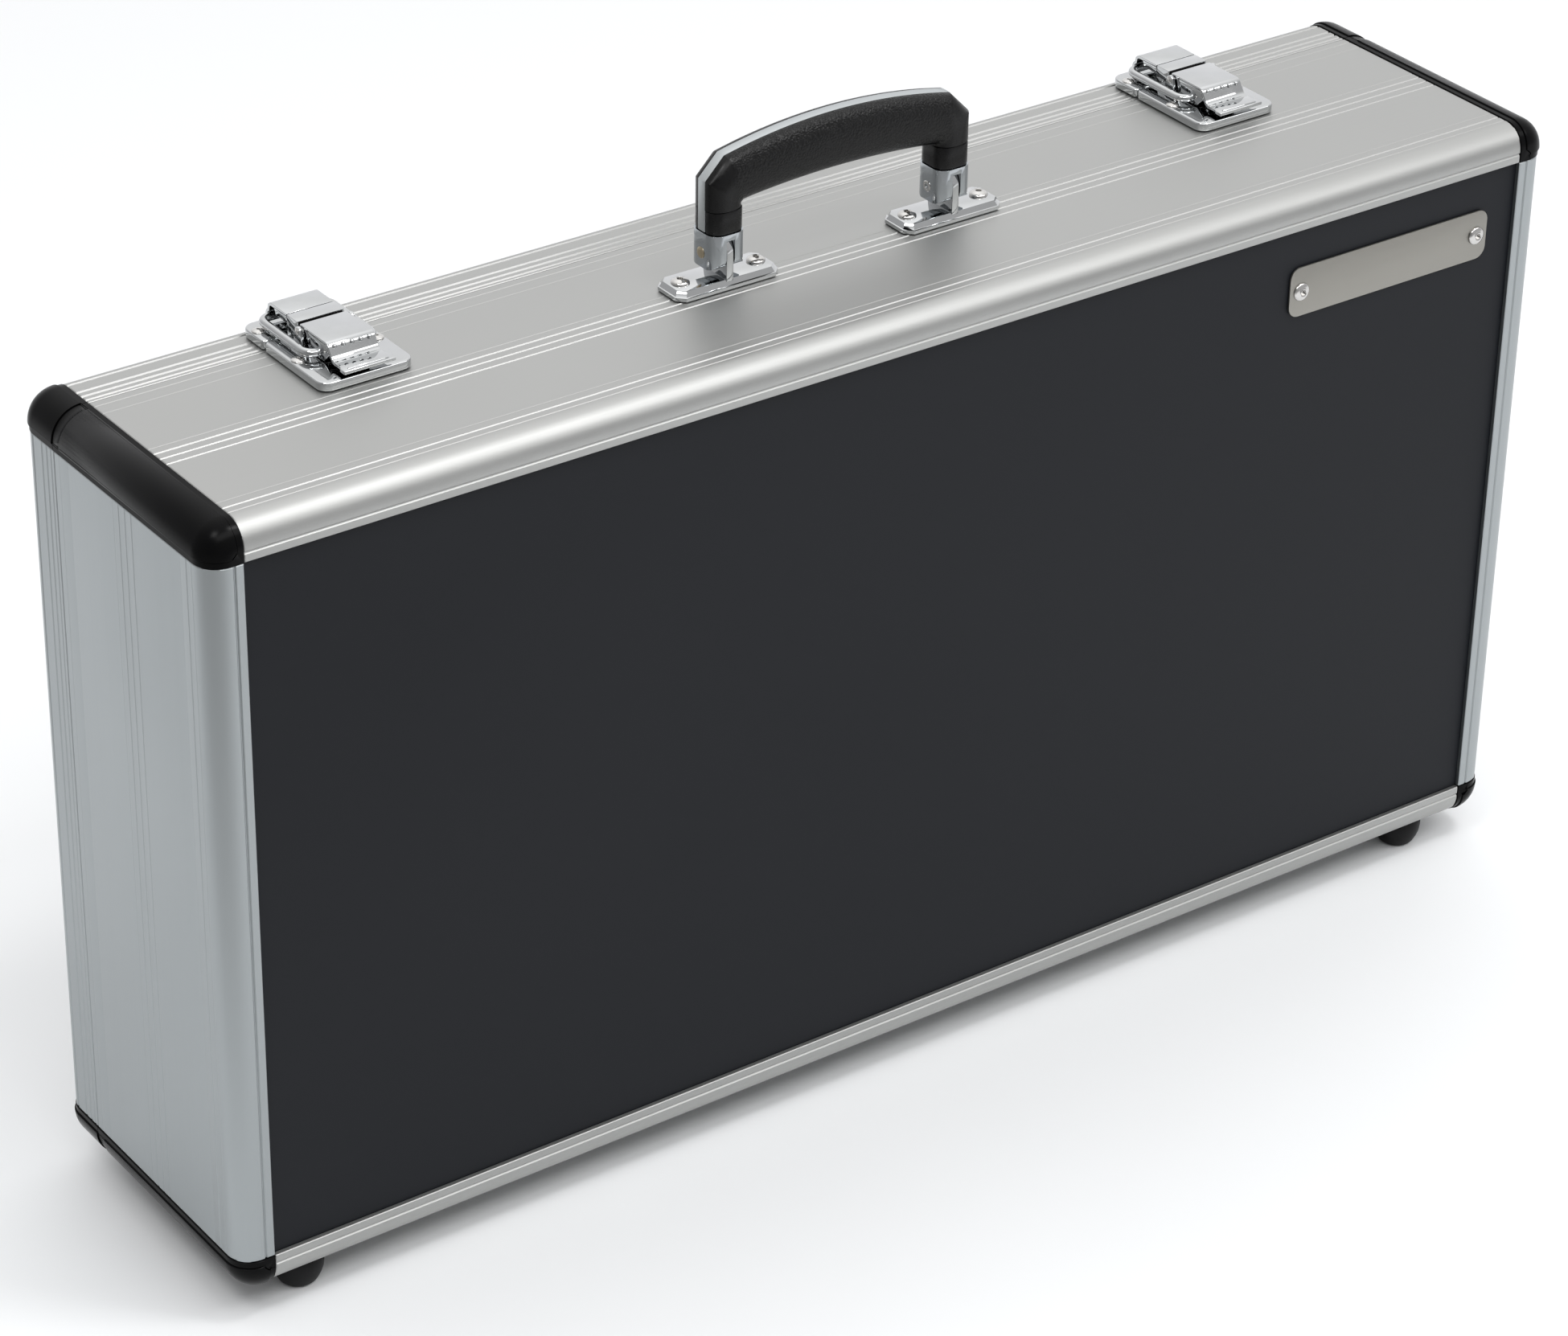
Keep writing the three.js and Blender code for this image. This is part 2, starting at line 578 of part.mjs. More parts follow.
// Round wire: in through one lever flange, back along the side, across behind the claw and
// forward again to the other flange.
function latchBail() {
  const { half, barY, bend, endHalf } = BAIL;
  const { y, z } = BAIL_PIVOT;
  const path = new THREE.CurvePath();
  const at = (px, py) => new THREE.Vector3(px, py, z);
  const corner = (ax, ay, cx, cy, bx, by) =>
    path.add(new THREE.QuadraticBezierCurve3(at(ax, ay), at(cx, cy), at(bx, by)));
  const line = (ax, ay, bx, by) => path.add(new THREE.LineCurve3(at(ax, ay), at(bx, by)));
  line(-endHalf, y, -half + bend, y);
  corner(-half + bend, y, -half, y, -half, y + bend);
  line(-half, y + bend, -half, barY - bend);
  corner(-half, barY - bend, -half, barY, -half + bend, barY);
  line(-half + bend, barY, half - bend, barY);
  corner(half - bend, barY, half, barY, half, barY - bend);
  line(half, barY - bend, half, y + bend);
  corner(half, y + bend, half, y, half - bend, y);
  line(half - bend, y, endHalf, y);
  const section = shapeOf(arc(0, 0, BAIL.wire, 0, 315, 7));
  return new THREE.ExtrudeGeometry(section, { steps: 48, extrudePath: path, bevelEnabled: false });
}

// Flat cover on the bail whose back edge curls down behind the wire.
function latchClaw() {
  const { front, flat, sheet } = CLAW;
  const inner = BAIL.wire + GAP;
  const outer = inner + sheet;
  const z = BAIL_PIVOT.z;
  const outline = [
    [front, COVER.top], [front, COVER.top - sheet], [flat - 0.4, COVER.top - sheet],
    ...arc(BAIL.barY, z, inner, 120, -10, 7),
    ...arc(BAIL.barY, z, outer, -10, 70, 6),
    [flat + 1.2, COVER.top],
  ];
  const flange = [[front, COVER.top - 0.2], [front, 339.4], [flat - 2, 339.4], [flat - 0.6, COVER.top - 0.2]];
  const flanges = SIDES.map(({ sign }) => {
    const [a, b] = [sign * (COVER.half - sheet), sign * COVER.half];
    return prismX(flange, Math.min(a, b), Math.max(a, b));
  });
  return join(prismX(outline, -COVER.half, COVER.half), ...flanges);
}

for (const side of SIDES) {
  const x = side.sign * LATCH_X;
  add(`latch_base_${side.name}`, latchBase(), CHROME, x);
  add(`latch_keeper_${side.name}`, latchKeeper(), CHROME, x);
  add(`latch_lever_${side.name}`, latchLever(), CHROME, x);
  add(`latch_bail_${side.name}`, latchBail(), CHROME, x);
  add(`latch_claw_${side.name}`, latchClaw(), CHROME, x);
  const pin = barX(1, -EAR.outer - 0.3, EAR.outer + 0.3, 0, 0, 12);
  add(`latch_pin_${side.name}`, pin, STEEL, x, LEVER_PIVOT.y, LEVER_PIVOT.z);
}

// ---------------------------------------------------------------- hinges
// Knuckles alternate between the two leaves; the leaves lie flat under the rails.
function hingeLeaf(direction, owns) {
  const { width, axisZ, knuckle, pin, leaf, reach, count } = HINGE;
  const pitch = width / count;
  const top = -GAP;
  const plate = box(-width / 2, width / 2, direction > 0 ? knuckle : -reach, direction > 0 ? reach : -knuckle,
    top - leaf, top);
  const knuckles = [];
  const bridges = [];
  for (let i = 0; i < count; i++) {
    if (!owns(i)) continue;
    const x0 = -width / 2 + i * pitch + 0.2;
    const x1 = x0 + pitch - 0.4;
    knuckles.push(barX(knuckle, x0, x1, 0, axisZ, 14));
    const [y0, y1] = direction > 0 ? [0, knuckle + 1] : [-knuckle - 1, 0];
    bridges.push(box(x0, x1, y0, y1, top - leaf, top));
  }
  return cut(join(plate, ...knuckles, ...bridges), barX(pin + GAP, -width, width, 0, axisZ, 10));
}
for (const side of SIDES) {
  const x = side.sign * HINGE.x;
  add(`hinge_base_leaf_${side.name}`, hingeLeaf(-1, (i) => i % 2 === 0), STEEL, x, PARTING_Y);
  add(`hinge_lid_leaf_${side.name}`, hingeLeaf(1, (i) => i % 2 === 1), STEEL, x, PARTING_Y);
  const pin = barX(HINGE.pin, -HINGE.width / 2, HINGE.width / 2, 0, 0, 12);
  add(`hinge_pin_${side.name}`, pin, STEEL, x, PARTING_Y, HINGE.axisZ);
}

export default attacheCase;
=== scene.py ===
"""Aluminium attache case: the visual model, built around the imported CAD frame.

Lengths are in millimetres in the case's own frame until a mesh is made, and the finished
objects are in metres. `h` is a height above the aluminium top face, `y` counts from the front
face towards the lid, and `d` counts inwards from an outer face.
"""

import math

import bmesh
import bpy
from mathutils import Matrix, Vector


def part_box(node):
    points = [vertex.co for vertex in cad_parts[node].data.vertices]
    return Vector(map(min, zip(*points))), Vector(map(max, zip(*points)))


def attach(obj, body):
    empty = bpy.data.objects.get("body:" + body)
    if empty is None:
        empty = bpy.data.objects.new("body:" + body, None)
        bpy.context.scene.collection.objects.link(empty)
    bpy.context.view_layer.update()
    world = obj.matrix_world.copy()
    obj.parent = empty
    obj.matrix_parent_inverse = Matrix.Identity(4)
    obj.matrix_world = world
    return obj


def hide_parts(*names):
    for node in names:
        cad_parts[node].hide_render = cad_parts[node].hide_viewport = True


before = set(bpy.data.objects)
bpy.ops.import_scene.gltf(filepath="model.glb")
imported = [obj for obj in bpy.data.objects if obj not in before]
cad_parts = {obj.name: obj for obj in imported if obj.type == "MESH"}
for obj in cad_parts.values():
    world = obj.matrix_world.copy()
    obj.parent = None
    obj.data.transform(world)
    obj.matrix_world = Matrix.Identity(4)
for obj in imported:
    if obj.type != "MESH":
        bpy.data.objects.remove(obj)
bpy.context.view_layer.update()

MM = 0.001
SIDES = (("left", -1), ("right", 1))


def corners(node):
    """Lowest and highest corner of a CAD node in millimetres."""
    low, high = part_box(node)
    return low / MM, high / MM


# ---- sizes taken from the frame
LEFT = corners("base_rail_left")[0].x
RIGHT = corners("base_rail_right")[1].x
BOTTOM = corners("base_rail_bottom")[0].z
TOP = corners("base_rail_top")[1].z
FRONT = corners("base_rail_left")[0].y
DEPTH = corners("lid_rail_left")[1].y - FRONT
BASE_END = corners("base_corner_top_left")[1].y - FRONT
LID_START = corners("lid_corner_top_left")[0].y - FRONT
PANEL_BACK = corners("front_panel")[1].y - FRONT

# corner mouldings: size over the outer faces, centre of the round, how far they stand out, and the
# flat strip along both edges, which widens to a band at the parting line
CORNER = 15.0
CORNER_CENTRE = 12.2
CORNER_PROUD = 0.8
STRIP_WIDTH = 2.4
STRIP_PROUD = 0.3
STRIP_BAND = 5.4

# rail section: outer rounding, wall, lip over the panel and its rebate, flange behind the panel
EDGE = 10.0
WALL = 2.0
LIP = 2.0
REBATE = 8.0
FLANGE = 1.8
FLANGE_BACK = PANEL_BACK + 2.1
SOFT = 0.25
LIP_SOFT = 0.3

# tongue of the deep shell that reaches into the lid
TONGUE_START = 103.0
TONGUE_REACH = 3.5
TONGUE_OUTER = 2.3
TONGUE_INNER = 3.5
TONGUE_SOFT = 0.4

# distance from the front face, width and depth of each groove along the rails; those in the lid's
# back rounding start with an angle past its start, and the upright rails' are shallower
BASE_GROOVES = (
    (10.6, 0.9, 0.2), (14.4, 1.0, 0.35), (18.8, 0.8, 0.12), (53.6, 0.95, 0.34), (58.2, 0.95, 0.35),
    (62.7, 1.05, 0.4), (66.8, 0.9, 0.16), (100.0, 0.9, 0.14), (106.4, 0.9, 0.18),
)
LID_GROOVES = ((112.8, 1.2, 0.52), (116.0, 1.4, 0.62), (119.7, 1.4, 0.62))
BACK_EDGE_GROOVES = ((4.0, 1.4, 0.62), (27.4, 1.4, 0.62))
UPRIGHT_SHARE = 0.42

# distance from the outer face, width and depth of the line in the front and back lips
LIP_GROOVE = (11.2, 1.3, 0.56)


# ---- geometry helpers
def arc(a, b, radius, start, end, steps):
    """Points round (a, b), from one angle in degrees to another."""
    angles = [math.radians(start + (end - start) * i / steps) for i in range(steps + 1)]
    return [(a + radius * math.cos(t), b + radius * math.sin(t)) for t in angles]


def rounded(half_a, half_b, radius, steps=8, a=0.0, b=0.0):
    """Rounded rectangle round (a, b)."""
    x, y = half_a - radius, half_b - radius
    return (
        arc(a + x, b + y, radius, 0, 90, steps) + arc(a - x, b + y, radius, 90, 180, steps)
        + arc(a - x, b - y, radius, 180, 270, steps) + arc(a + x, b - y, radius, 270, 360, steps)
    )


def smooth(obj, angle=32):
    """Smooth shading that stays sharp at edges above the angle."""
    for face in obj.data.polygons:
        face.use_smooth = True
    obj.data.set_sharp_from_angle(angle=math.radians(angle))
    return obj


def finish(name, bm, angle=32):
    """Turns a bmesh in millimetres into an object in metres."""
    bmesh.ops.remove_doubles(bm, verts=bm.verts, dist=0.0005)
    bmesh.ops.recalc_face_normals(bm, faces=bm.faces)
    bmesh.ops.scale(bm, vec=(MM, MM, MM), verts=bm.verts)
    mesh = bpy.data.meshes.new(name)
    bm.to_mesh(mesh)
    bm.free()
    obj = bpy.data.objects.new(name, mesh)
    bpy.context.scene.collection.objects.link(obj)
    return smooth(obj, angle)


def loft(name, rings, closed=False, angle=32):
    """Skin over rings with the same number of points: capped at both ends, or closed on itself."""
    bm = bmesh.new()
    rows = [[bm.verts.new(p) for p in ring] for ring in rings]
    count = len(rows[0])
    pairs = list(zip(rows, rows[1:])) + ([(rows[-1], rows[0])] if closed else [])
    for low, high in pairs:
        for i in range(count):
            j = (i + 1) % count
            bm.faces.new((low[i], low[j], high[j], high[i]))
    if not closed:
        bm.faces.new(rows[0])
        bm.faces.new(rows[-1])
    return finish(name, bm, angle)


def prism(name, outline, axis, low, high, angle=32):
    """Outline in the two axes other than `axis`, in X, Y, Z order, extruded from low to high."""
    def at(p, s):
        return {"x": (s, p[0], p[1]), "y": (p[0], s, p[1]), "z": (p[0], p[1], s)}[axis]

    return loft(name, [[at(p, low) for p in outline], [at(p, high) for p in outline]], angle=angle)


def lathe(name, profile, centre, axis="z", flip=1, steps=32, angle=32):
    """Profile of (radius, height) turned about an axis; it starts and ends at radius 0, or where it began."""
    bm = bmesh.new()
    cx, cy, cz = centre

    def at(r, s, t):
        u, v = r * math.cos(t), r * math.sin(t)
        s = s * flip
        return {
            "x": (cx + s, cy + u, cz + v), "y": (cx + u, cy + s, cz + v), "z": (cx + u, cy + v, cz + s),
        }[axis]

    turns = [2 * math.pi * i / steps for i in range(steps)]
    rows = [[bm.verts.new(at(r, s, t)) for t in turns] for r, s in profile]
    for low, high in zip(rows, rows[1:]):
        for i in range(steps):
            j = (i + 1) % steps
            bm.faces.new((low[i], low[j], high[j], high[i]))
    bmesh.ops.remove_doubles(bm, verts=bm.verts, dist=0.0005)
    return finish(name, bm, angle)


def tube(name, points, radius, sides=20):
    """Round wire along a polyline, capped at both ends."""
    rings = []
    path = [Vector(p) for p in points]
    normal = Vector((0, 0, 1))
    for i, p in enumerate(path):
        ahead = (path[min(i + 1, len(path) - 1)] - path[max(i - 1, 0)]).normalized()
        across = normal.cross(ahead).normalized()
        up = ahead.cross(across)
        turns = [2 * math.pi * k / sides for k in range(sides)]
        rings.append([tuple(p + radius * (math.cos(t) * across + math.sin(t) * up)) for t in turns])
    return loft(name, rings)


def bake(obj, angle=32):
    """Replaces an object's mesh by what its modifiers make of it."""
    graph = bpy.context.evaluated_depsgraph_get()
    mesh = bpy.data.meshes.new_from_object(obj.evaluated_get(graph))
    obj.modifiers.clear()
    obj.data = mesh
    return smooth(obj, angle)


def bevel(obj, width, segments=3, limit=35):
    """Rounds the edges above the limit angle."""
    modifier = obj.modifiers.new("round", "BEVEL")
    modifier.width = width * MM
    modifier.segments = segments
    modifier.limit_method = "ANGLE"
    modifier.angle_limit = math.radians(limit)
    modifier.use_clamp_overlap = True
    return bake(obj)


def combine(obj, others, operation):
    """Joins the others to obj or cuts them from it, and removes them."""
    for other in others:
        modifier = obj.modifiers.new("combine", "BOOLEAN")
        modifier.operation = operation
        modifier.solver = "EXACT"
        modifier.object = other
        bake(obj)
        bpy.data.objects.remove(other)
    return obj


def together(obj, *others):
    """Puts separate closed bodies into one mesh."""
    bm = bmesh.new()
    for part in (obj, *others):
        bm.from_mesh(part.data)
    bm.to_mesh(obj.data)
    bm.free()
    for other in others:
        bpy.data.objects.remove(other)
    return smooth(obj)


def place(obj, body, look, *nodes):
    """Gives a piece the material of its look and its body, and hides the CAD nodes it stands for."""
    slot, material = look
    obj.data.materials.clear()
    obj.data.materials.append(material)
    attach(obj, body)
    if nodes:
        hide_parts(*nodes)


def place_detail(obj, body, look, node):
    """Places the detailed piece that stands for one CAD node, and names it after the node."""
    obj.name = f"{node}_detail"
    place(obj, body, look, node)


# ---- material helpers
class Look:
    """A node material: a Principled shader fed by procedural textures."""

    def __init__(self, name, **values):
        self.material = bpy.data.materials.new(name)
        self.material.use_nodes = True
        self.tree = self.material.node_tree
        self.shader = self.tree.nodes["Principled BSDF"]
        for socket, value in values.items():
            self.shader.inputs[socket.replace("_", " ")].default_value = value
        self.place = self.tree.nodes.new("ShaderNodeTexCoord").outputs["Object"]

    def node(self, kind, **values):
        """Adds a node; each value is linked, set on the input of that name, or set as a property."""
        made = self.tree.nodes.new(kind)
        for key, value in values.items():
            if isinstance(value, bpy.types.NodeSocket):
                self.tree.links.new(value, made.inputs[key])
            elif key in made.inputs:
                made.inputs[key].default_value = value
            else:
                setattr(made, key, value)
        return made

    def noise(self, scale, stretch=(1, 1, 1), detail=4.0, rough=0.5):
        """Noise with its scale in features per metre, squeezed by stretch along each axis."""
        mapping = self.node("ShaderNodeMapping", Vector=self.place, Scale=stretch)
        made = self.node("ShaderNodeTexNoise", Vector=mapping.outputs[0], Scale=scale, Detail=detail)
        made.inputs["Roughness"].default_value = rough
        return made.outputs["Fac"]

    def cells(self, scale):
        """Distance to the middle of each Voronoi cell, with its scale in cells per metre."""
        return self.node("ShaderNodeTexVoronoi", Vector=self.place, Scale=scale).outputs["Distance"]

    def span(self, source, low, high, start=0.3, end=0.7):
        """Maps a texture from start..end to low..high."""
        made = self.node("ShaderNodeMapRange", Value=source)
        for key, value in (("From Min", start), ("From Max", end), ("To Min", low), ("To Max", high)):
            made.inputs[key].default_value = value
        return made.outputs["Result"]

    def mix(self, a, b, kind="ADD"):
        """Sum of two values, or what another kind of maths node makes of them."""
        made = self.node("ShaderNodeMath", operation=kind)
        for index, value in enumerate((a, b)):
            if isinstance(value, bpy.types.NodeSocket):
                self.tree.links.new(value, made.inputs[index])
            else:
                made.inputs[index].default_value = value
        return made.outputs[0]

    def colours(self, source, *stops):
        """Colour ramp over a texture; stops are (position, colour)."""
        made = self.node("ShaderNodeValToRGB", Fac=source)
        ramp = made.color_ramp
        while len(ramp.elements) < len(stops):
            ramp.elements.new(0.5)
        for element, (position, colour) in zip(ramp.elements, stops):
            element.position = position
            element.color = (*colour, 1)
        self.link(made.outputs["Color"], "Base Color")

    def link(self, source, socket):
        self.tree.links.new(source, self.shader.inputs[socket])

    def bump(self, source, distance_mm, strength=1.0):
        made = self.node("ShaderNodeBump", Height=source)
        made.inputs["Strength"].default_value = strength
        made.inputs["Distance"].default_value = distance_mm * MM
        self.link(made.outputs["Normal"], "Normal")


def aluminium_look(name, along, tone, rough=0.37):
    """Satin anodised extrusion with drawing lines along its length."""
    look = Look(name, Metallic=1.0)
    lines = tuple(3.0 if axis == along else 900.0 for axis in "xyz")
    drawn = look.noise(1.0, lines, detail=3.0)
    cloud = look.noise(14.0, detail=3.0)
    grain = look.noise(2600.0, detail=2.0)
    look.colours(look.mix(look.span(cloud, 0.0, 0.6), look.span(drawn, 0.0, 0.4)),
                 (0.0, tuple(t * 0.965 for t in tone)), (1.0, tone))
    look.link(look.mix(look.span(cloud, rough, rough + 0.04), look.span(drawn, 0.0, 0.04)), "Roughness")
    look.bump(look.mix(look.span(drawn, 0.0, 0.6), look.span(grain, 0.0, 0.5)), 0.006, 0.5)
    return look.material


def chrome_look(name, tone, rough, ripple):
    """Plated metal with a slightly wavy surface."""
    look = Look(name, Metallic=1.0)
    smear = look.noise(160.0, detail=3.0)
    look.colours(smear, (0.3, tuple(t * 0.96 for t in tone)), (0.7, tone))
    look.link(look.span(smear, rough * 0.6, rough * 1.5), "Roughness")
    look.bump(look.noise(240.0, detail=1.0), ripple, 0.35)
    return look.material


def plastic_look(name, dark, light, rough, grain_mm, gloss):
    """Moulded plastic or rubber with a fine spark-eroded grain."""
    look = Look(name, Specular_IOR_Level=gloss)
    cloud = look.noise(30.0)
    grain = look.noise(2400.0, detail=2.0)
    look.colours(cloud, (0.3, dark), (0.7, light))
    worn = look.span(cloud, rough - 0.04, rough + 0.03)
    look.link(look.mix(worn, look.span(grain, 0.0, 0.06)), "Roughness")
    look.bump(grain, grain_mm, 0.4)
    return look.material


def panel_look():
    """Charcoal laminate with a very fine paper-like grain."""
    look = Look("panel_laminate")
    cloud = look.noise(5.0, (1.0, 1.0, 1.6), detail=5.0)
    weave = look.noise(1.0, (900.0, 900.0, 2200.0), detail=3.0)
    specks = look.noise(1500.0, detail=3.0)
    look.colours(look.mix(look.span(cloud, 0.0, 0.7), look.span(specks, 0.0, 0.3)),
                 (0.1, (0.0092, 0.0104, 0.0132)), (0.9, (0.012, 0.0132, 0.0162)))
    look.shader.inputs["Specular IOR Level"].default_value = 0.16
    look.link(look.mix(look.span(cloud, 0.44, 0.5), look.span(specks, 0.0, 0.06)), "Roughness")
    look.bump(look.mix(specks, weave), 0.012, 0.35)
    return look.material


def leather_look(low_z, high_z, half_x):
    """Black leather: pebbled over the bar, smooth on the legs."""
    look = Look("grip_leather")
    split = look.node("ShaderNodeSeparateXYZ", Vector=look.place)
    rise = look.span(split.outputs["Z"], 0.0, 1.0, low_z * MM, high_z * MM)
    aside = look.mix(split.outputs["X"], 0.0, kind="ABSOLUTE")
    middle = look.span(aside, 1.0, 0.0, (half_x - 3.0) * MM, half_x * MM)
    mask = look.mix(rise, middle, kind="MULTIPLY")
    pebbles = look.span(look.cells(1050.0), 1.0, 0.0, 0.0, 0.75)
    creases = look.noise(620.0, detail=5.0, rough=0.6)
    fine = look.noise(3000.0, detail=2.0)
    grain = look.mix(look.mix(pebbles, creases), mask, kind="MULTIPLY")
    look.colours(creases, (0.35, (0.002, 0.002, 0.0022)), (0.65, (0.0035, 0.0035, 0.0037)))
    look.shader.inputs["Specular IOR Level"].default_value = 0.26
    look.link(look.mix(look.span(creases, 0.24, 0.34), look.mix(mask, 0.04, kind="MULTIPLY")), "Roughness")
    look.bump(look.mix(grain, look.mix(fine, 0.08, kind="MULTIPLY")), 0.25, 0.8)
    return look.material


def foam_look():
    """Open-cell foam."""
    look = Look("foam", Roughness=0.95)
    pores = look.cells(900.0)
    look.colours(pores, (0.1, (0.006, 0.006, 0.0065)), (0.6, (0.03, 0.03, 0.033)))
    look.bump(look.mix(pores, look.noise(700.0)), 0.5, 0.8)
    return look.material


# slot and material of each look
RAIL_TONE = (0.43, 0.432, 0.424)
ALONG_X = ("rail_aluminium", aluminium_look("rail_aluminium_along", "x", RAIL_TONE, 0.44))
# The upright rails get a darker, bluer copy of the rail aluminium: painted shade for the side faces. Its
# lines along z are the extrusion's own grain.
ALONG_Z_SHADED = ("rail_aluminium", aluminium_look("rail_aluminium_upright_shaded", "z", (0.385, 0.41, 0.42)))
STRIP_METAL = ("strip_aluminium", aluminium_look("strip_aluminium", "x", (0.5, 0.525, 0.535)))
BADGE_METAL = ("badge_aluminium", aluminium_look("badge_aluminium", "x", (0.31, 0.3, 0.275)))
CHROME = ("chrome", chrome_look("chrome", (0.56, 0.57, 0.575), 0.05, 0.02))
SATIN_CHROME = ("satin_chrome", chrome_look("satin_chrome", (0.43, 0.455, 0.475), 0.13, 0.02))
STEEL = ("steel", chrome_look("plated_steel", (0.6, 0.59, 0.575), 0.15, 0.01))
BRASS = ("brass", chrome_look("brass_pin", (0.45, 0.38, 0.27), 0.3, 0.01))
BLACK_PLASTIC = ("corner_plastic", plastic_look(
    "corner_plastic", (0.0018, 0.0018, 0.002), (0.003, 0.003, 0.0032), 0.2, 0.01, 0.07,
))
RUBBER = ("rubber", plastic_look(
    "rubber", (0.006, 0.006, 0.0065), (0.009, 0.009, 0.0095), 0.45, 0.02, 0.14,
))
# Near-black filler set inside the latch blocks' tunnels: painted shade in the hollows.
SHADE_FILL = ("steel", plastic_look(
    "painted_shade_fill", (0.002, 0.002, 0.002), (0.004, 0.004, 0.004), 0.7, 0.01, 0.14,
))
PANEL = ("panel_laminate", panel_look())
FOAM = ("foam", foam_look())


# ---- rails
def groove(y, width, depth, share):
    """Flat-bottomed groove in an outer face, as (d, y) points, at a share of its depth."""
    half, floor, depth = width / 2, width / 9, depth * share
    return [(0.0, y - half), (depth, y - floor), (depth, y + floor), (0.0, y + half)]


def grooved_edge(centre_y, start, end, grooves):
    """Rounded edge from one angle to the other with grooves at the given angles past the start."""
    turn = 1 if end > start else -1
    points = []
    at = start
    for past, width, depth in grooves:
        half = math.degrees(width / 2 / EDGE)
        middle = start + turn * past
        points += arc(EDGE, centre_y, EDGE, at, middle - turn * half, max(2, round(abs(middle - at) / 6)))
        points += arc(EDGE, centre_y, EDGE - depth, middle - turn * half * 0.4, middle + turn * half * 0.4, 1)
        at = middle + turn * half
    points += arc(EDGE, centre_y, EDGE, at, end, max(2, round(abs(end - at) / 6)))
    return points


def lip_groove(y, inwards):
    """Groove in the front (y = 0, inwards = 1) or back (y = DEPTH, inwards = -1) lip."""
    d, width, depth = LIP_GROOVE
    half, floor = width / 2, width / 9
    inner = y + inwards * depth
    return [(d + half, y), (d + floor, inner), (d - floor, inner), (d - half, y)]


def base_profile(share):
    """(d, y) section of a deep-shell rail, from the lip round the outside to the tongue and back."""
    tongue_end = BASE_END + TONGUE_REACH
    return [
        (CORNER, LIP), (CORNER, LIP_SOFT), (CORNER - LIP_SOFT, 0.0),
        *lip_groove(0.0, 1),
        *grooved_edge(EDGE, 270, 180, ()),
        *[p for g in BASE_GROOVES for p in groove(*g, share)],
        (0.0, BASE_END - SOFT), (SOFT, BASE_END), (TONGUE_OUTER, BASE_END),
        (TONGUE_OUTER, tongue_end - TONGUE_SOFT), (TONGUE_OUTER + TONGUE_SOFT, tongue_end),
        (TONGUE_INNER, tongue_end), (TONGUE_INNER, TONGUE_START), (WALL, TONGUE_START - WALL),
        (WALL, FLANGE_BACK), (CORNER, FLANGE_BACK), (CORNER, FLANGE_BACK - FLANGE),
        (REBATE, FLANGE_BACK - FLANGE), (REBATE, LIP),
    ]


def lid_profile(share):
    """(d, y) section of a lid rail, from the back lip round the inside to the parting line and back."""
    flange = DEPTH - FLANGE_BACK
    return [
        (CORNER, DEPTH - LIP), (REBATE, DEPTH - LIP), (REBATE, flange + FLANGE), (CORNER, flange + FLANGE),
        (CORNER, flange), (WALL, flange), (WALL, LID_START), (SOFT, LID_START), (0.0, LID_START + SOFT),
        *[p for g in LID_GROOVES for p in groove(*g, share)],
        (0.0, DEPTH - EDGE - 1.0),
        *grooved_edge(DEPTH - EDGE, 180, 90, BACK_EDGE_GROOVES),
        *lip_groove(DEPTH, -1)[::-1],
        (CORNER - LIP_SOFT, DEPTH), (CORNER, DEPTH - LIP_SOFT),
    ]


def rail_point(side, d, y, s):
    """Point of a rail: d inwards, y from the front, s along it."""
    y += FRONT
    return {
        "top": (s, y, TOP - d),
        "bottom": (s, y, BOTTOM + d),
        "left": (LEFT + d, y, s),
        "right": (RIGHT - d, y, s),
    }[side]


def worn_point(d, y):
    """Profile point at a cut end, where the outer edges are broken."""
    if d < 1.0:
        return d + SOFT, y
    if y < 1.0:
        return d, y + SOFT
    if y > DEPTH - 1.0:
        return d, y - SOFT
    return d, y


def make_rails(body, make_profile):
    """Four rails of one shell; the upright ones have shallower grooves."""
    for side in ("top", "bottom", "left", "right"):
        node = f"{body}_rail_{side}"
        low, high = corners(node)
        level = side in ("top", "bottom")
        start, end = (low.x, high.x) if level else (low.z, high.z)
        profile = make_profile(1.0 if level else UPRIGHT_SHARE)
        worn = [worn_point(d, y) for d, y in profile]
        stations = ((start, worn), (start + 0.3, profile), (end - 0.3, profile), (end, worn))
        rings = [[rail_point(side, d, y, s) for d, y in shape] for s, shape in stations]
        rail = loft(f"{node}_detail", rings, angle=10)
        place(rail, body, ALONG_X if level else ALONG_Z_SHADED, node)


# ---- corner mouldings
def corner_section():
    """(distance inwards, proud) along one leg: flat strip, shadow line, then the raised moulding."""
    strip = CORNER - STRIP_WIDTH
    line = strip - 0.4
    return [
        (CORNER, STRIP_PROUD - 0.25), (CORNER - 0.2, STRIP_PROUD), (strip, STRIP_PROUD),
        (strip - 0.15, -0.15), (line, -0.15), (line - 0.25, CORNER_PROUD - 0.2),
        (line - 0.55, CORNER_PROUD),
    ]


def corner_ring(y, phi, raised):
    """Ring of a moulding at the end-rounding angle phi, in (a, c, y).

    a and c run inwards from the two outer faces; a ring that isn't raised stays at the strip's level.
    """
    inset = EDGE * (1 - math.cos(phi))

    def shift(proud):
        proud = proud if raised or proud < STRIP_PROUD else STRIP_PROUD + 0.05
        return inset - proud * math.cos(phi), y - proud * math.sin(phi)

    ring = []
    for along, proud in corner_section():
        inner, place_y = shift(proud)
        ring.append((along, inner, place_y))
    inner, place_y = shift(CORNER_PROUD)
    radius = CORNER_CENTRE - inner
    for a, c in arc(CORNER_CENTRE, CORNER_CENTRE, radius, 270, 180, 14):
        ring.append((a, c, place_y))
    for along, proud in corner_section()[::-1]:
        inner, place_y = shift(proud)
        ring.append((inner, along, place_y))
    ring.append((CORNER, CORNER, y))
    return ring


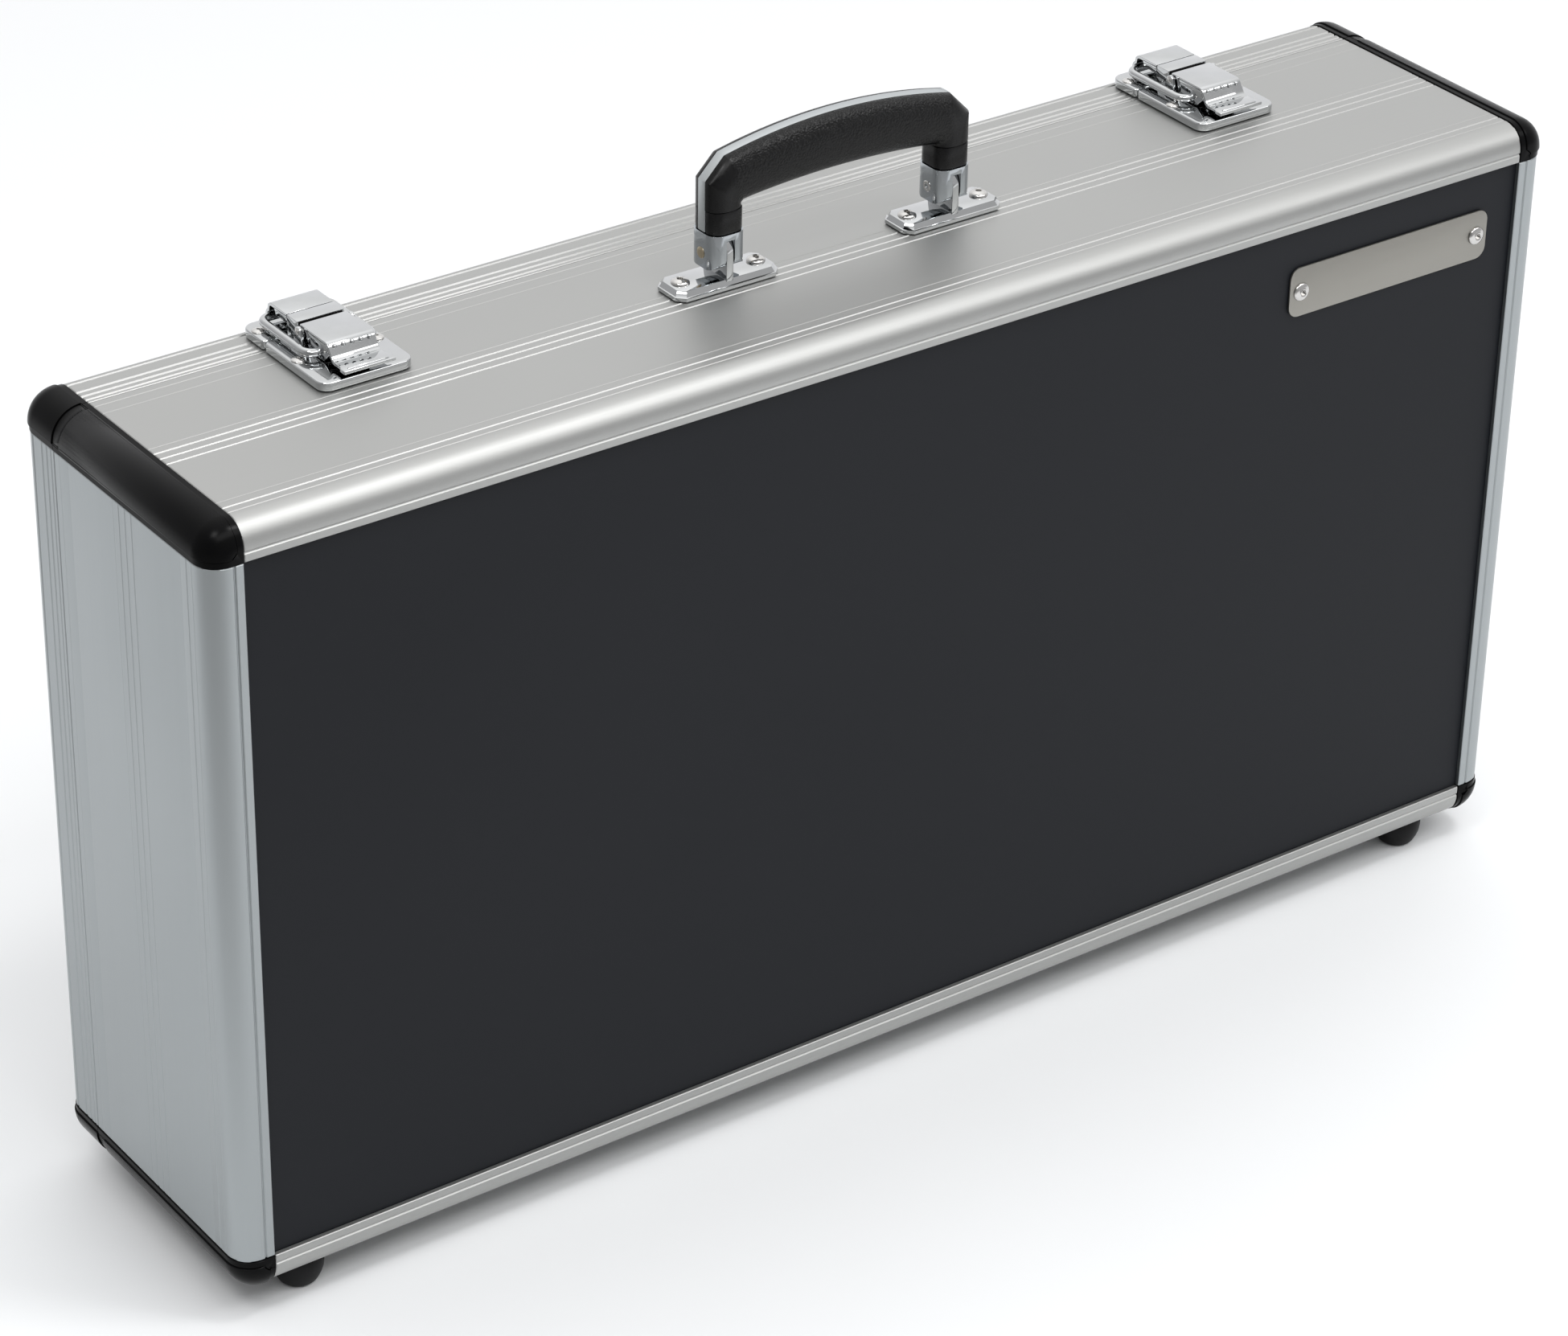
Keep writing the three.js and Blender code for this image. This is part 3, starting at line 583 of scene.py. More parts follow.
def make_corners(body, start, end, low_band):
    """Mouldings rounded at start and flat at end, the parting line, with a lower band before it."""
    way = 1 if end > start else -1
    length = abs(end - start)
    steps = 12
    rings = []
    for i in range(steps + 1):
        phi = math.pi / 2 * (1 - i / steps)
        ring = corner_ring(EDGE * (1 - math.sin(phi)), phi, True)
        rings.append([(a, c, start + way * y) for a, c, y in ring])
    stops = [(length - low_band, True)]
    if low_band:
        stops += [(length - low_band + 0.6, False)]
    stops += [(length, not low_band)]
    for y, raised in stops:
        rings.append([(a, c, start + way * along) for a, c, along in corner_ring(y, 0.0, raised)])
    for vertical in ("top", "bottom"):
        for name, sign in SIDES:
            def at(a, c, y):
                x = LEFT + a if sign < 0 else RIGHT - a
                z = TOP - c if vertical == "top" else BOTTOM + c
                return x, y + FRONT, z

            node = f"{body}_corner_{vertical}_{name}"
            corner = loft(f"{node}_detail", [[at(*p) for p in ring] for ring in rings], angle=40)
            place(corner, body, BLACK_PLASTIC, node)


# ---- rivets
def rivet(name, centre, radius, height, hole, axis="z", flip=1):
    """Domed rivet head with the open mandrel hole in its middle."""
    rim = [(0, 0), (radius, 0), (radius, height * 0.16)]
    dome = [(radius * math.cos(t), height * (0.16 + 0.84 * math.sin(t)))
            for t in (math.radians(a) for a in range(10, 61, 10))]
    bore = [(hole * 1.25, height), (hole, height * 0.9), (hole, height * 0.25), (0, height * 0.25)]
    return lathe(name, rim + dome + bore, centre, axis, flip, 36, 40)


# ---- badge
def make_badge():
    """Blank plate and its two rivets."""
    low, high = corners("badge_plate")
    x, z = (low.x + high.x) / 2, (low.z + high.z) / 2
    half_x, half_z = (high.x - low.x) / 2, (high.z - low.z) / 2
    outline = rounded(half_x, half_z, 5, 10, x, z)
    plate = prism("badge_plate_detail", outline, "y", low.y, high.y)
    bevel(plate, 0.25, 2)
    place(plate, "base", BADGE_METAL, "badge_plate")
    for name, _ in SIDES:
        node = f"badge_rivet_{name}"
        a, b = corners(node)
        centre = ((a.x + b.x) / 2, high.y - 1.1, (a.z + b.z) / 2)
        head = rivet(f"{node}_detail", centre, 3.9, 1.5, 1.3, "y", -1)
        place(head, "base", STEEL, node)


# ---- feet
def make_feet():
    """Turned rubber feet with a screw hole in the tread."""
    for row in ("front", "back"):
        for name, _ in SIDES:
            node = f"foot_{row}_{name}"
            low, high = corners(node)
            centre = ((low.x + high.x) / 2, (low.y + high.y) / 2, low.z)
            radius = (high.x - low.x) / 2
            tall = high.z - low.z
            tread = radius - 2.2
            profile = [(0, 2.5), (2.6, 2.5), (2.9, 2.2), (3.0, 0.5), (3.4, 0.0), (tread - 3.5, 0.0)]
            profile += arc(tread - 3.2, 3.6, 3.6, 285, 330, 5)
            profile += [(radius - 1.1, 4.2), (radius - 0.3, 6.6), (radius, 9.0), (radius, tall - 0.6)]
            profile += [(radius - 0.5, tall), (0, tall)]
            foot = lathe(f"{node}_detail", profile, centre, steps=48, angle=40)
            place(foot, "base", RUBBER, node)


# ---- handle
HANDLE_Y = (corners("handle_grip")[0].y + corners("handle_grip")[1].y) / 2
PIVOT_Z = (corners("handle_pin_left")[0].z + corners("handle_pin_left")[1].z) / 2
LEG_X = (corners("handle_socket_right")[0].x + corners("handle_socket_right")[1].x) / 2
LEG_HALF = 8.0
LEG_DEPTH = 8.2
SOCKET_TOP = corners("handle_socket_left")[1].z
GRIP_OUTER = LEG_X + LEG_HALF
GRIP_SHOULDER = TOP + 44.5
GRIP_END = TOP + 53.2
GRIP_TOP = corners("handle_grip")[1].z
GRIP_CHAMFER = 8.5
GRIP_UNDER_END = TOP + 33.0
GRIP_UNDER_MIDDLE = TOP + 35.6
LEG_SEAM = TOP + 32.6
STRIP_HALF = 2.2
CHANNEL_HALF = STRIP_HALF + 0.15


def grip_arch(end_x, end_z, middle_z, steps):
    """Points of a shallow parabola from -end_x to end_x."""
    spread = [-1 + 2 * i / steps for i in range(steps + 1)]
    return [(t * end_x, end_z + (middle_z - end_z) * (1 - t * t)) for t in spread]


def grip_outer(foot_z):
    """Outer line of the handle in (x, z), from the foot of one leg over the arch to the other."""
    arch = grip_arch(GRIP_OUTER - GRIP_CHAMFER, GRIP_END, GRIP_TOP, 24)
    return [(-GRIP_OUTER, foot_z), (-GRIP_OUTER, GRIP_SHOULDER), *arch,
            (GRIP_OUTER, GRIP_SHOULDER), (GRIP_OUTER, foot_z)]


def offset_path(path, distance):
    """Moves an open path to its right with mitred corners."""
    sides = []
    for (ax, az), (bx, bz) in zip(path, path[1:]):
        length = math.hypot(bx - ax, bz - az)
        sides.append(((bz - az) / length, (ax - bx) / length))
    moved = []
    for i, (x, z) in enumerate(path):
        a, b = sides[max(i - 1, 0)], sides[min(i, len(sides) - 1)]
        scale = distance / (1 + a[0] * b[0] + a[1] * b[1])
        moved.append((x + (a[0] + b[0]) * scale, z + (a[1] + b[1]) * scale))
    return moved


def grip_stations(foot_z):
    """Pairs of outer and inner points along the grip, from the foot of one leg to that of the other."""
    inner, fillet, end = LEG_X - LEG_HALF, 0.8, GRIP_OUTER - GRIP_CHAMFER
    under = GRIP_UNDER_END - fillet
    chamfer_middle = ((GRIP_OUTER + end) / 2, (GRIP_SHOULDER + GRIP_END) / 2)
    # the last three take their height from the arch
    fan_outer = [(GRIP_OUTER, under), (GRIP_OUTER, under + 6), (GRIP_OUTER, GRIP_SHOULDER - 0.3)]
    fan_outer += [(GRIP_OUTER, GRIP_SHOULDER), chamfer_middle]
    fan_outer += [(end, GRIP_END), (end - 0.4, GRIP_END), (inner - fillet, 0)]
    fan_inner = arc(inner - fillet, under, fillet, 0, 90, len(fan_outer) - 1)

    def over(x):
        return GRIP_END + (GRIP_TOP - GRIP_END) * (1 - (x / end) ** 2)

    def beneath(x):
        return GRIP_UNDER_END + (GRIP_UNDER_MIDDLE - GRIP_UNDER_END) * (1 - (x / inner) ** 2)

    half = [((GRIP_OUTER, foot_z), (inner, foot_z))]
    for (outer_x, outer_z), (inner_x, inner_z) in zip(fan_outer, fan_inner):
        half.append(((outer_x, outer_z if outer_x > end else over(outer_x)), (inner_x, inner_z)))
    steps = 14
    for i in range(1, steps + 1):
        x = (inner - fillet) * (1 - i / steps)
        half.append(((x, over(x)), (x, beneath(x))))
    other = [((-a[0], a[1]), (-b[0], b[1])) for a, b in half[-2::-1]]
    return half + other


def grip_ring(outer, inner):
    """Crowned section of the grip between an outer and an inner point, flatter under the strip."""
    sides = 48
    middle_x, middle_z = (outer[0] + inner[0]) / 2, (outer[1] + inner[1]) / 2
    reach_x, reach_z = (outer[0] - inner[0]) / 2, (outer[1] - inner[1]) / 2
    ring = []
    for i in range(sides):
        a, b = math.cos(2 * math.pi * i / sides), math.sin(2 * math.pi * i / sides)
        square = 2.3 + 1.3 * max(a, 0.0) ** 4
        full = (abs(a) ** square + abs(b) ** square) ** (-1 / square)
        y = HANDLE_Y + LEG_DEPTH * b * full
        ring.append((middle_x + reach_x * a * full, y, middle_z + reach_z * a * full))
    return ring


def make_grip():
    """Leather bar with a channel for the strip, and a plain leg piece under each of its ends."""
    inner = LEG_X - LEG_HALF
    bottom = SOCKET_TOP - 12
    look = ("grip_leather", leather_look(LEG_SEAM + 1.5, LEG_SEAM + 3.5, GRIP_OUTER - 9))
    bar = loft("handle_grip_bar", [grip_ring(*pair) for pair in grip_stations(bottom)], angle=24)
    strip_path = grip_outer(bottom - 4)
    channel = offset_path(strip_path, -3.0) + offset_path(strip_path, 1.3)[::-1]
    cutters = [prism("channel", channel, "y", HANDLE_Y - CHANNEL_HALF, HANDLE_Y + CHANNEL_HALF)]
    for _, sign in SIDES:
        near, far = sign * (inner - 9), sign * (GRIP_OUTER + 9)
        leg_cut = [(near, bottom - 9), (far, bottom - 9), (far, LEG_SEAM), (near, LEG_SEAM)]
        cutters.append(prism("leg_cut", leg_cut, "y", HANDLE_Y - 20, HANDLE_Y + 20))
    combine(bar, cutters, "DIFFERENCE")
    place(bar, "handle", look, "handle_grip")
    for name, sign in SIDES:
        x = sign * LEG_X
        outline = rounded(LEG_HALF - 0.25, LEG_DEPTH - 0.3, 5.2, 8, x, HANDLE_Y)
        leg = prism(f"handle_leg_{name}", outline, "z", SOCKET_TOP + 0.3, LEG_SEAM - 0.25)
        outside = x + sign * LEG_HALF
        low, high = sorted((outside - sign * 1.3, outside + sign * 3))
        front, back = HANDLE_Y - CHANNEL_HALF, HANDLE_Y + CHANNEL_HALF
        slot = [(low, front), (high, front), (high, back), (low, back)]
        combine(leg, [prism("slot", slot, "z", SOCKET_TOP - 5, LEG_SEAM + 5)], "DIFFERENCE")
        place(bevel(leg, 0.35, 2, 40), "handle", look)


def make_strip():
    """Metal strip let into the channel along the grip's outer edge."""
    path = grip_outer(SOCKET_TOP + 0.6)
    outline = offset_path(path, -0.05) + offset_path(path, 1.1)[::-1]
    strip = prism("handle_strip_detail", outline, "y", HANDLE_Y - STRIP_HALF, HANDLE_Y + STRIP_HALF, 12)
    place(bevel(strip, 0.15, 2, 50), "handle", STRIP_METAL, "handle_strip")


def make_socket(name, x):
    """Chromed cup round the foot of a leg, round underneath and slotted for the lug."""
    low = corners(f"handle_socket_{name}")[0].z
    depth = LEG_DEPTH + 0.1
    body = prism("socket", rounded(LEG_HALF + 0.1, depth, 5.3, 10, x, HANDLE_Y), "z", low, SOCKET_TOP)
    radius = 4.6
    side = [(HANDLE_Y - depth, SOCKET_TOP + 2)]
    side += arc(HANDLE_Y - depth + radius, low + radius, radius, 180, 270, 10)
    side += arc(HANDLE_Y + depth - radius, low + radius, radius, 270, 360, 10)
    side += [(HANDLE_Y + depth, SOCKET_TOP + 2)]
    under = prism("under", side, "x", x - 12, x + 12)
    combine(body, [under], "INTERSECT")
    half, slot_top = 1.9, TOP + 20.5
    slot = [(x - half, low - 2), (x + half, low - 2), (x + half, slot_top), (x - half, slot_top)]
    combine(body, [prism("slot", slot, "y", HANDLE_Y - 12, HANDLE_Y + 12)], "DIFFERENCE")
    place_detail(bevel(body, 0.4, 3, 30), "handle", SATIN_CHROME, f"handle_socket_{name}")


def make_pins(name, x, hollow):
    """Pivot pin: a head at each end and the shaft between them, hollow steel or solid brass."""
    node = f"handle_pin_{name}"
    look = STEEL if hollow else BRASS
    radius = 2.3
    half = LEG_HALF + 0.25
    for end in (-1, 1):
        centre = (x + end * half, HANDLE_Y, PIVOT_Z)
        dome = [(0, -3.0), (radius, -3.0), (radius, 0.05), (radius - 0.3, 0.3)]
        dome += [(1.2, 0.3), (1.1, 0.2), (1.1, -1.6), (0, -1.6)] if hollow else [(1.2, 0.42), (0, 0.46)]
        head = lathe(f"{node}_{'outer' if end * x > 0 else 'inner'}", dome, centre, "x", end, 32, 40)
        if end > 0:
            place(head, "handle", look)
            continue
        section = rounded(1.9, 1.9, 1.85, 5, HANDLE_Y, PIVOT_Z)
        shaft = prism("shaft", section, "x", x - half + 3.2, x + half - 3.2)
        place(together(head, shaft), "handle", look, node)


def make_handle_plate(name, x):
    """Plate with cut corners and a sloped rim, its pivot lug and its two rivets."""
    node = f"handle_plate_{name}"
    low, high = corners(node)
    half_x, half_y = (high.x - low.x) / 2, (high.y - low.y) / 2
    top = low.z + 4.0

    def ring(inset, z):
        a, b, cut = half_x - inset, half_y - inset, 3.2 - inset * 0.42
        points = [(a, -b + cut), (a, b - cut), (a - cut, b), (-a + cut, b),
                  (-a, b - cut), (-a, -b + cut), (-a + cut, -b), (a - cut, -b)]
        return [(x + p, HANDLE_Y + q, z) for p, q in points]

    rim = [(0.2, low.z), (0, low.z + 0.3), (0, low.z + 1.7), (0.4, low.z + 1.9)]
    rim += [(1.6, top - 0.12), (1.85, top)]
    plate = loft(node + "_detail", [ring(*step) for step in rim], angle=15)
    reach = 8.0
    profile = [(HANDLE_Y - reach, top - 1), (HANDLE_Y + reach, top - 1)]
    profile += arc(HANDLE_Y, PIVOT_Z, reach, 0, 180, 24)
    lug = bevel(prism("lug", profile, "x", x - 1.6, x + 1.6), 0.35, 2, 50)
    place(together(plate, lug), "base", CHROME, node)
    for end in ("outer", "inner"):
        rivet_node = f"handle_rivet_{name}_{end}"
        a, b = corners(rivet_node)
        centre = ((a.x + b.x) / 2, HANDLE_Y, top)
        head = rivet(f"{rivet_node}_detail", centre, 3.7, 1.9, 1.15)
        place(head, "base", STEEL, rivet_node)


def make_handle():
    make_grip()
    make_strip()
    for name, sign in SIDES:
        make_socket(name, sign * LEG_X)
        make_pins(name, sign * LEG_X, hollow=sign > 0)
        make_handle_plate(name, sign * LEG_X)


# ---- latches
# outlines here are points of (distance from the front face, height over the top face)
LATCH_HALF = 20.0
PLATE_TOP = 4.1
PLATE_FOOT = 3.9
COVER_HALF = 10.1
COVER_TOP = 13.0
COVER_SHEET = 1.4
HOOD_SHEET = 1.2
HOOD_FRONT = 110.25
HOOD_ROUND = 3.4
EAR_OUTER = 11.9
LATCH_FRONT = corners("latch_base_left")[0].y
LATCH_BACK = corners("latch_keeper_left")[1].y
LEVER_PIVOT = (FRONT + 99.6, TOP + 10.6)
BAIL_PIVOT = (FRONT + 87.5, TOP + 7.0)
BAIL_BAR = FRONT + 122.5
BAIL_HALF = 14.6
BAIL_BEND = 4.2
WIRE = 1.7


def on_top(*points):
    """Outline in (y, z) from points of (distance from the front face, height over the top face)."""
    return [(FRONT + y, TOP + h) for y, h in points]


def block_outline(start, end, low, high):
    """Rectangle from start to end behind the front face, and from low to high over the top face."""
    return on_top((start, low), (end, low), (end, high), (start, high))


def both_sides(outline, x, inner, outer, width, segments):
    """Two softened plates of the same outline, from inner to outer on either side of x."""
    plates = []
    for sign in (-1, 1):
        low, high = sorted((x + sign * inner, x + sign * outer))
        plates.append(bevel(prism("plate", outline, "x", low, high), width, segments, 50))
    return plates


def latch_plate(x, closed_y, open_y):
    """Raised plate with rounded edges; its open end meets the parting line."""
    way = 1 if open_y > closed_y else -1
    radius, notch = 5.0, 1.2
    y = closed_y + way * radius
    left = arc(x - LATCH_HALF + radius, y, radius, 180, 180 + way * 90, 10)
    right = arc(x + LATCH_HALF - radius, y, radius, 360 - way * 90, 360, 10)
    outline = [(x - LATCH_HALF + notch, open_y), (x - LATCH_HALF, open_y - way * notch), *left, *right,
               (x + LATCH_HALF, open_y - way * notch), (x + LATCH_HALF - notch, open_y)]
    return bevel(prism("pan", outline, "z", TOP + 0.3, TOP + PLATE_TOP), 0.95, 5, 40)


def sheet(name, path, thickness, half, x, angle=32):
    """Bent sheet: a path in (y, height over the top), thickened to its right and spread across x."""
    below = offset_path(path, thickness)
    outline = [(y, TOP + h) for y, h in path + below[::-1]]
    return prism(name, outline, "x", x - half, x + half, angle)


def latch_base(name, x):
    """Base plate with the hollow block behind the lever, the ears, and the pin through them."""
    pan = latch_plate(x, LATCH_FRONT, FRONT + BASE_END)
    front, back = 102.6, 109.8
    outline = block_outline(front, back, PLATE_FOOT, COVER_TOP)
    block = prism("block", outline, "x", x - COVER_HALF, x + COVER_HALF)
    half = COVER_HALF - 0.9
    outline = block_outline(front - 2, back - 1.2, 5.0, COVER_TOP - 0.5)
    combine(block, [prism("tunnel", outline, "x", x - half, x + half)], "DIFFERENCE")
    bevel(block, 0.2, 3, 40)
    # Near-black core inside the tunnel: painted shade in the hollow block.
    half = COVER_HALF - 1.0
    outline = block_outline(front + 0.1, back - 1.3, 5.1, COVER_TOP - 0.6)
    core = prism(f"latch_shade_core_{name}", outline, "x", x - half, x + half)
    place(core, "base", SHADE_FILL)
    y, z = LEVER_PIVOT
    foot, shoulder = TOP + PLATE_FOOT, TOP + 6.0
    ear = [(y - 4.0, foot), (y + 4.0, foot), (y + 3.2, shoulder)]
    ear += [*arc(y, z, 2.0, 0, 180, 12), (y - 3.2, shoulder)]
    made = together(pan, block, *both_sides(ear, x, 10.5, EAR_OUTER, 0.25, 2))
    place_detail(made, "base", CHROME, f"latch_base_{name}")
    riveted = [(0, -2.4), (1.0, -2.4), (1.0, 0.0), (1.5, 0.0), (1.5, 0.2), (0.8, 0.45), (0, 0.5)]
    ends = []
    for sign in (-1, 1):
        ends.append(lathe("pin_end", riveted, (x + sign * EAR_OUTER, y, z), "x", sign, 20, 40))
    pin = together(prism("pin", rounded(1.0, 1.0, 0.95, 4, y, z), "x", x - 10, x + 10), *ends)
    place_detail(pin, "base", STEEL, f"latch_pin_{name}")


def latch_keeper(name, x):
    """Keeper plate on the lid with its low lip."""
    pan = latch_plate(x, LATCH_BACK, FRONT + LID_START)
    lip = on_top((115.8, PLATE_FOOT), (119.4, PLATE_FOOT), (119.2, 5.0), (117.6, 5.0))
    keeper = together(pan, bevel(prism("lip", lip, "x", x - 8, x + 8), 0.3, 2, 50))
    place_detail(keeper, "lid", CHROME, f"latch_keeper_{name}")


def latch_rivets(name, x):
    """Two rivets in each plate; the CAD has none, so they stand for no node."""
    for body, y in (("base", 90.8), ("lid", 119.4)):
        for side, sign in SIDES:
            centre = (x + sign * 16.9, FRONT + y, TOP + PLATE_TOP - 0.05)
            head = rivet(f"latch_rivet_{body}_{name}_{side}", centre, 2.7, 1.05, 0.6)
            place(head, body, STEEL)


def lever_trim(x):
    """Rounded bar across the lever's finger tab, and a row of plain bumps over its bend."""
    reach = 8.8
    bar = [(0, -reach), (0.5, 0.15 - reach), (0.75, 0.6 - reach)]
    bar += [(0.75, reach - 0.6), (0.5, reach - 0.15), (0, reach)]
    trim = [lathe("bar", bar, (x, FRONT + 69.2, TOP + 7.15), "x", 1, 20, 60)]
    count, pitch, radius = 5, 3.7, 0.95
    dome = [(0, -0.5), (radius, -0.5), *arc(0, 0, radius, 0, 90, 5)]
    for i in range(count):
        centre = (x + pitch * (i - (count - 1) / 2), FRONT + 80.4, TOP + 11.6)
        trim.append(lathe("bump", dome, centre, "z", 1, 16, 60))
    return trim


def latch_lever(name, x):
    """Cover bent down to a finger tab, with a flange at each side."""
    bend_y, bend = FRONT + 83.0, 3.0
    path = [(FRONT + 100.6, COVER_TOP), (bend_y, COVER_TOP)]
    path += arc(bend_y, COVER_TOP - bend, bend, 90, 152, 8)[1:]
    path += arc(FRONT + 76.2, 9.95, 2.6, -28, -90, 6)
    path += [(FRONT + 75.2, 7.35)]
    cover = bevel(sheet("cover", path, -COVER_SHEET, COVER_HALF, x, 50), 0.35, 3, 50)
    half = [(11.0, 67.6), (11.0, 70.6), (COVER_HALF, 72.2), (COVER_HALF, 75.6)]
    outline = [(x + a, FRONT + y) for a, y in half] + [(x - a, FRONT + y) for a, y in half[::-1]]
    tab = bevel(prism("tab", outline, "z", TOP + 5.95, TOP + 7.36), 0.4, 3, 50)
    y, z = LEVER_PIVOT
    under = COVER_TOP - 0.5
    flange = on_top((100.4, under), (82.2, under), (80.0, 8.6), (83.8, 4.7), (95.5, 4.6))
    flange += [(y + 1.6, z - 2.1), (y + 2.2, z)]
    flanges = both_sides(flange, x, COVER_HALF - COVER_SHEET, COVER_HALF, 0.4, 3)
    lever = together(cover, tab, *lever_trim(x), *flanges)
    place_detail(lever, f"lever_{name}", CHROME, f"latch_lever_{name}")


def latch_bail(name, x):
    """Wire loop from the lever round the keeper, and the sheet claw on the loop's far bar."""
    body = f"bail_{name}"
    y, z = BAIL_PIVOT
    inside, bend = 8.9, BAIL_BEND
    left, right = x - BAIL_HALF + bend, x + BAIL_HALF - bend
    near, far = y + bend, BAIL_BAR - bend
    path = [(x - inside, y), *arc(left, near, bend, 270, 180, 7), *arc(left, far, bend, 180, 90, 7)]
    path += [*arc(right, far, bend, 90, 0, 7), *arc(right, near, bend, 0, -90, 7), (x + inside, y)]
    wire = tube(f"latch_bail_{name}_detail", [(a, b, z) for a, b in path], WIRE, 24)
    place(wire, body, CHROME, f"latch_bail_{name}")
    path = arc(BAIL_BAR, z - TOP, WIRE + 0.3 + HOOD_SHEET, -15, 60, 8)
    path += arc(FRONT + 121.0, COVER_TOP - HOOD_ROUND, HOOD_ROUND, 38, 90, 7)
    path += [(FRONT + HOOD_FRONT, COVER_TOP)]
    hood = bevel(sheet("hood", path, -HOOD_SHEET, COVER_HALF, x, 50), 0.35, 3, 60)
    under, low = COVER_TOP - 0.5, 9.2
    flange = on_top((HOOD_FRONT, under), (HOOD_FRONT, low), (118.0, low), (119.6, under))
    claw = together(hood, *both_sides(flange, x, COVER_HALF - HOOD_SHEET, COVER_HALF, 0.35, 3))
    place_detail(claw, body, CHROME, f"latch_claw_{name}")


def make_latches():
    for name, _ in SIDES:
        low, high = corners(f"latch_base_{name}")
        x = (low.x + high.x) / 2
        latch_base(name, x)
        latch_keeper(name, x)
        latch_rivets(name, x)
        latch_lever(name, x)
        latch_bail(name, x)


# ---- hinges
HINGE_HALF = 30.0
KNUCKLE = 2.7
KNUCKLES = 5


def hinge_leaf(name, body, far, x, y, z):
    """Leaf from its far edge to the pin at (y, z), with every other knuckle, and its rivets."""
    low, high = BOTTOM - 1.6, BOTTOM - 0.3
    turn, first = (-1, 0) if body == "base" else (1, 1)
    near = y + turn * (KNUCKLE + 0.1)
    middle = (far + near) / 2
    outline = rounded(HINGE_HALF, abs(far - near) / 2, 2.5, 6, x, middle)
    leaf = bevel(prism("leaf", outline, "z", low, high), 0.25, 2, 50)
    pitch = 2 * HINGE_HALF / KNUCKLES
    parts = []
    for i in range(first, KNUCKLES, 2):
        start = x - HINGE_HALF + i * pitch + 0.2
        end = start + pitch - 0.4
        barrel = [(1.5, start), (KNUCKLE - 0.3, start), (KNUCKLE, start + 0.3), (KNUCKLE, end - 0.3),
                  (KNUCKLE - 0.3, end), (1.5, end), (1.5, start)]
        parts.append(lathe("knuckle", barrel, (0, y, z), "x", 1, 28, 40))
        inner, outer = sorted((y + turn * 1.6, near + turn * 2.6))
        bridge = [(start, inner), (end, inner), (end, outer), (start, outer)]
        parts.append(prism("bridge", bridge, "z", low + 0.05, high - 0.05))
    made = together(leaf, *parts)
    place_detail(made, body, STEEL, f"hinge_{body}_leaf_{name}")
    for k, along in enumerate((-20, 0, 20)):
        centre = (x + along, middle + turn * 2.0, low + 0.1)
        head = rivet(f"hinge_rivet_{body}_{name}_{k}", centre, 3.0, 1.3, 0.9, "z", -1)
        place(head, body, STEEL)


def make_hinges():
    riveted = [(0, -3), (1.2, -3), (1.2, 0.05), (1.9, 0.05), (1.9, 0.4), (1.2, 0.9), (0, 1.0)]
    for name, _ in SIDES:
        base_low, base_high = corners(f"hinge_base_leaf_{name}")
        lid_high = corners(f"hinge_lid_leaf_{name}")[1]
        pin_low, pin_high = corners(f"hinge_pin_{name}")
        x = (base_low.x + base_high.x) / 2
        y, z = (pin_low.y + pin_high.y) / 2, (pin_low.z + pin_high.z) / 2
        hinge_leaf(name, "base", base_low.y, x, y, z)
        hinge_leaf(name, "lid", lid_high.y, x, y, z)
        ends = []
        for sign in (-1, 1):
            ends.append(lathe("pin_end", riveted, (x + sign * HINGE_HALF, y, z), "x", sign, 24, 40))
        pin = together(prism("pin", rounded(1.2, 1.2, 1.15, 5, y, z), "x", x - 27.2, x + 27.2), *ends)
        place_detail(pin, "base", STEEL, f"hinge_pin_{name}")


# ---- linings
def foam_height(u, v, waves):
    """Height share of a pad, 0..1, with soft rounded borders and optional egg-crate waves."""
    edge = min(1 - abs(u), (1 - abs(v)) / 2)
    border = 1 - (1 - min(edge / 0.02, 1.0)) ** 2.5
    if not waves:
        return border * (0.96 + 0.04 * math.cos(u * 1.4) * math.cos(v * 1.4))
    wave = math.sin(u * waves * math.pi) * math.sin(v * waves * math.pi / 2)
    return border * (0.86 + 0.14 * wave * min(edge / 0.05, 1.0))


def make_pad(node, body, faces_back, waves):
    """Foam pad on a panel: flat against it, soft on the open side."""
    low, high = corners(node)
    columns, rows, rim_thickness = 140, 70, 0.6
    bm = bmesh.new()
    swell = high.y - low.y - rim_thickness
    flat_y, way = (low.y, 1) if faces_back else (high.y, -1)
    grid = []
    for j in range(rows + 1):
        v = -1 + 2 * j / rows
        line = []
        for i in range(columns + 1):
            u = -1 + 2 * i / columns
            x = (low.x + high.x) / 2 + u * (high.x - low.x) / 2
            z = (low.z + high.z) / 2 + v * (high.z - low.z) / 2
            y = flat_y + way * (rim_thickness + swell * foam_height(u, v, waves))
            line.append(bm.verts.new((x, y, z)))
        grid.append(line)
    for j in range(rows):
        for i in range(columns):
            bm.faces.new((grid[j][i], grid[j][i + 1], grid[j + 1][i + 1], grid[j + 1][i]))
    rim = grid[0] + [line[-1] for line in grid[1:]] + grid[-1][-2::-1] + [line[0] for line in grid[-2:0:-1]]
    back = [bm.verts.new((v.co.x, flat_y, v.co.z)) for v in rim]
    for i in range(len(rim)):
        j = (i + 1) % len(rim)
        bm.faces.new((rim[i], back[i], back[j], rim[j]))
    bm.faces.new(back)
    pad = finish(f"{node}_soft", bm, 60)
    place(pad, body, FOAM, node)


# ---- panels
def make_panels():
    """The CAD's flat panels are kept as they are and only get their material."""
    for node, body in (("front_panel", "base"), ("back_panel", "lid")):
        slot, material = PANEL
        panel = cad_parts[node]
        panel.data.materials.clear()
        panel.data.materials.append(material)


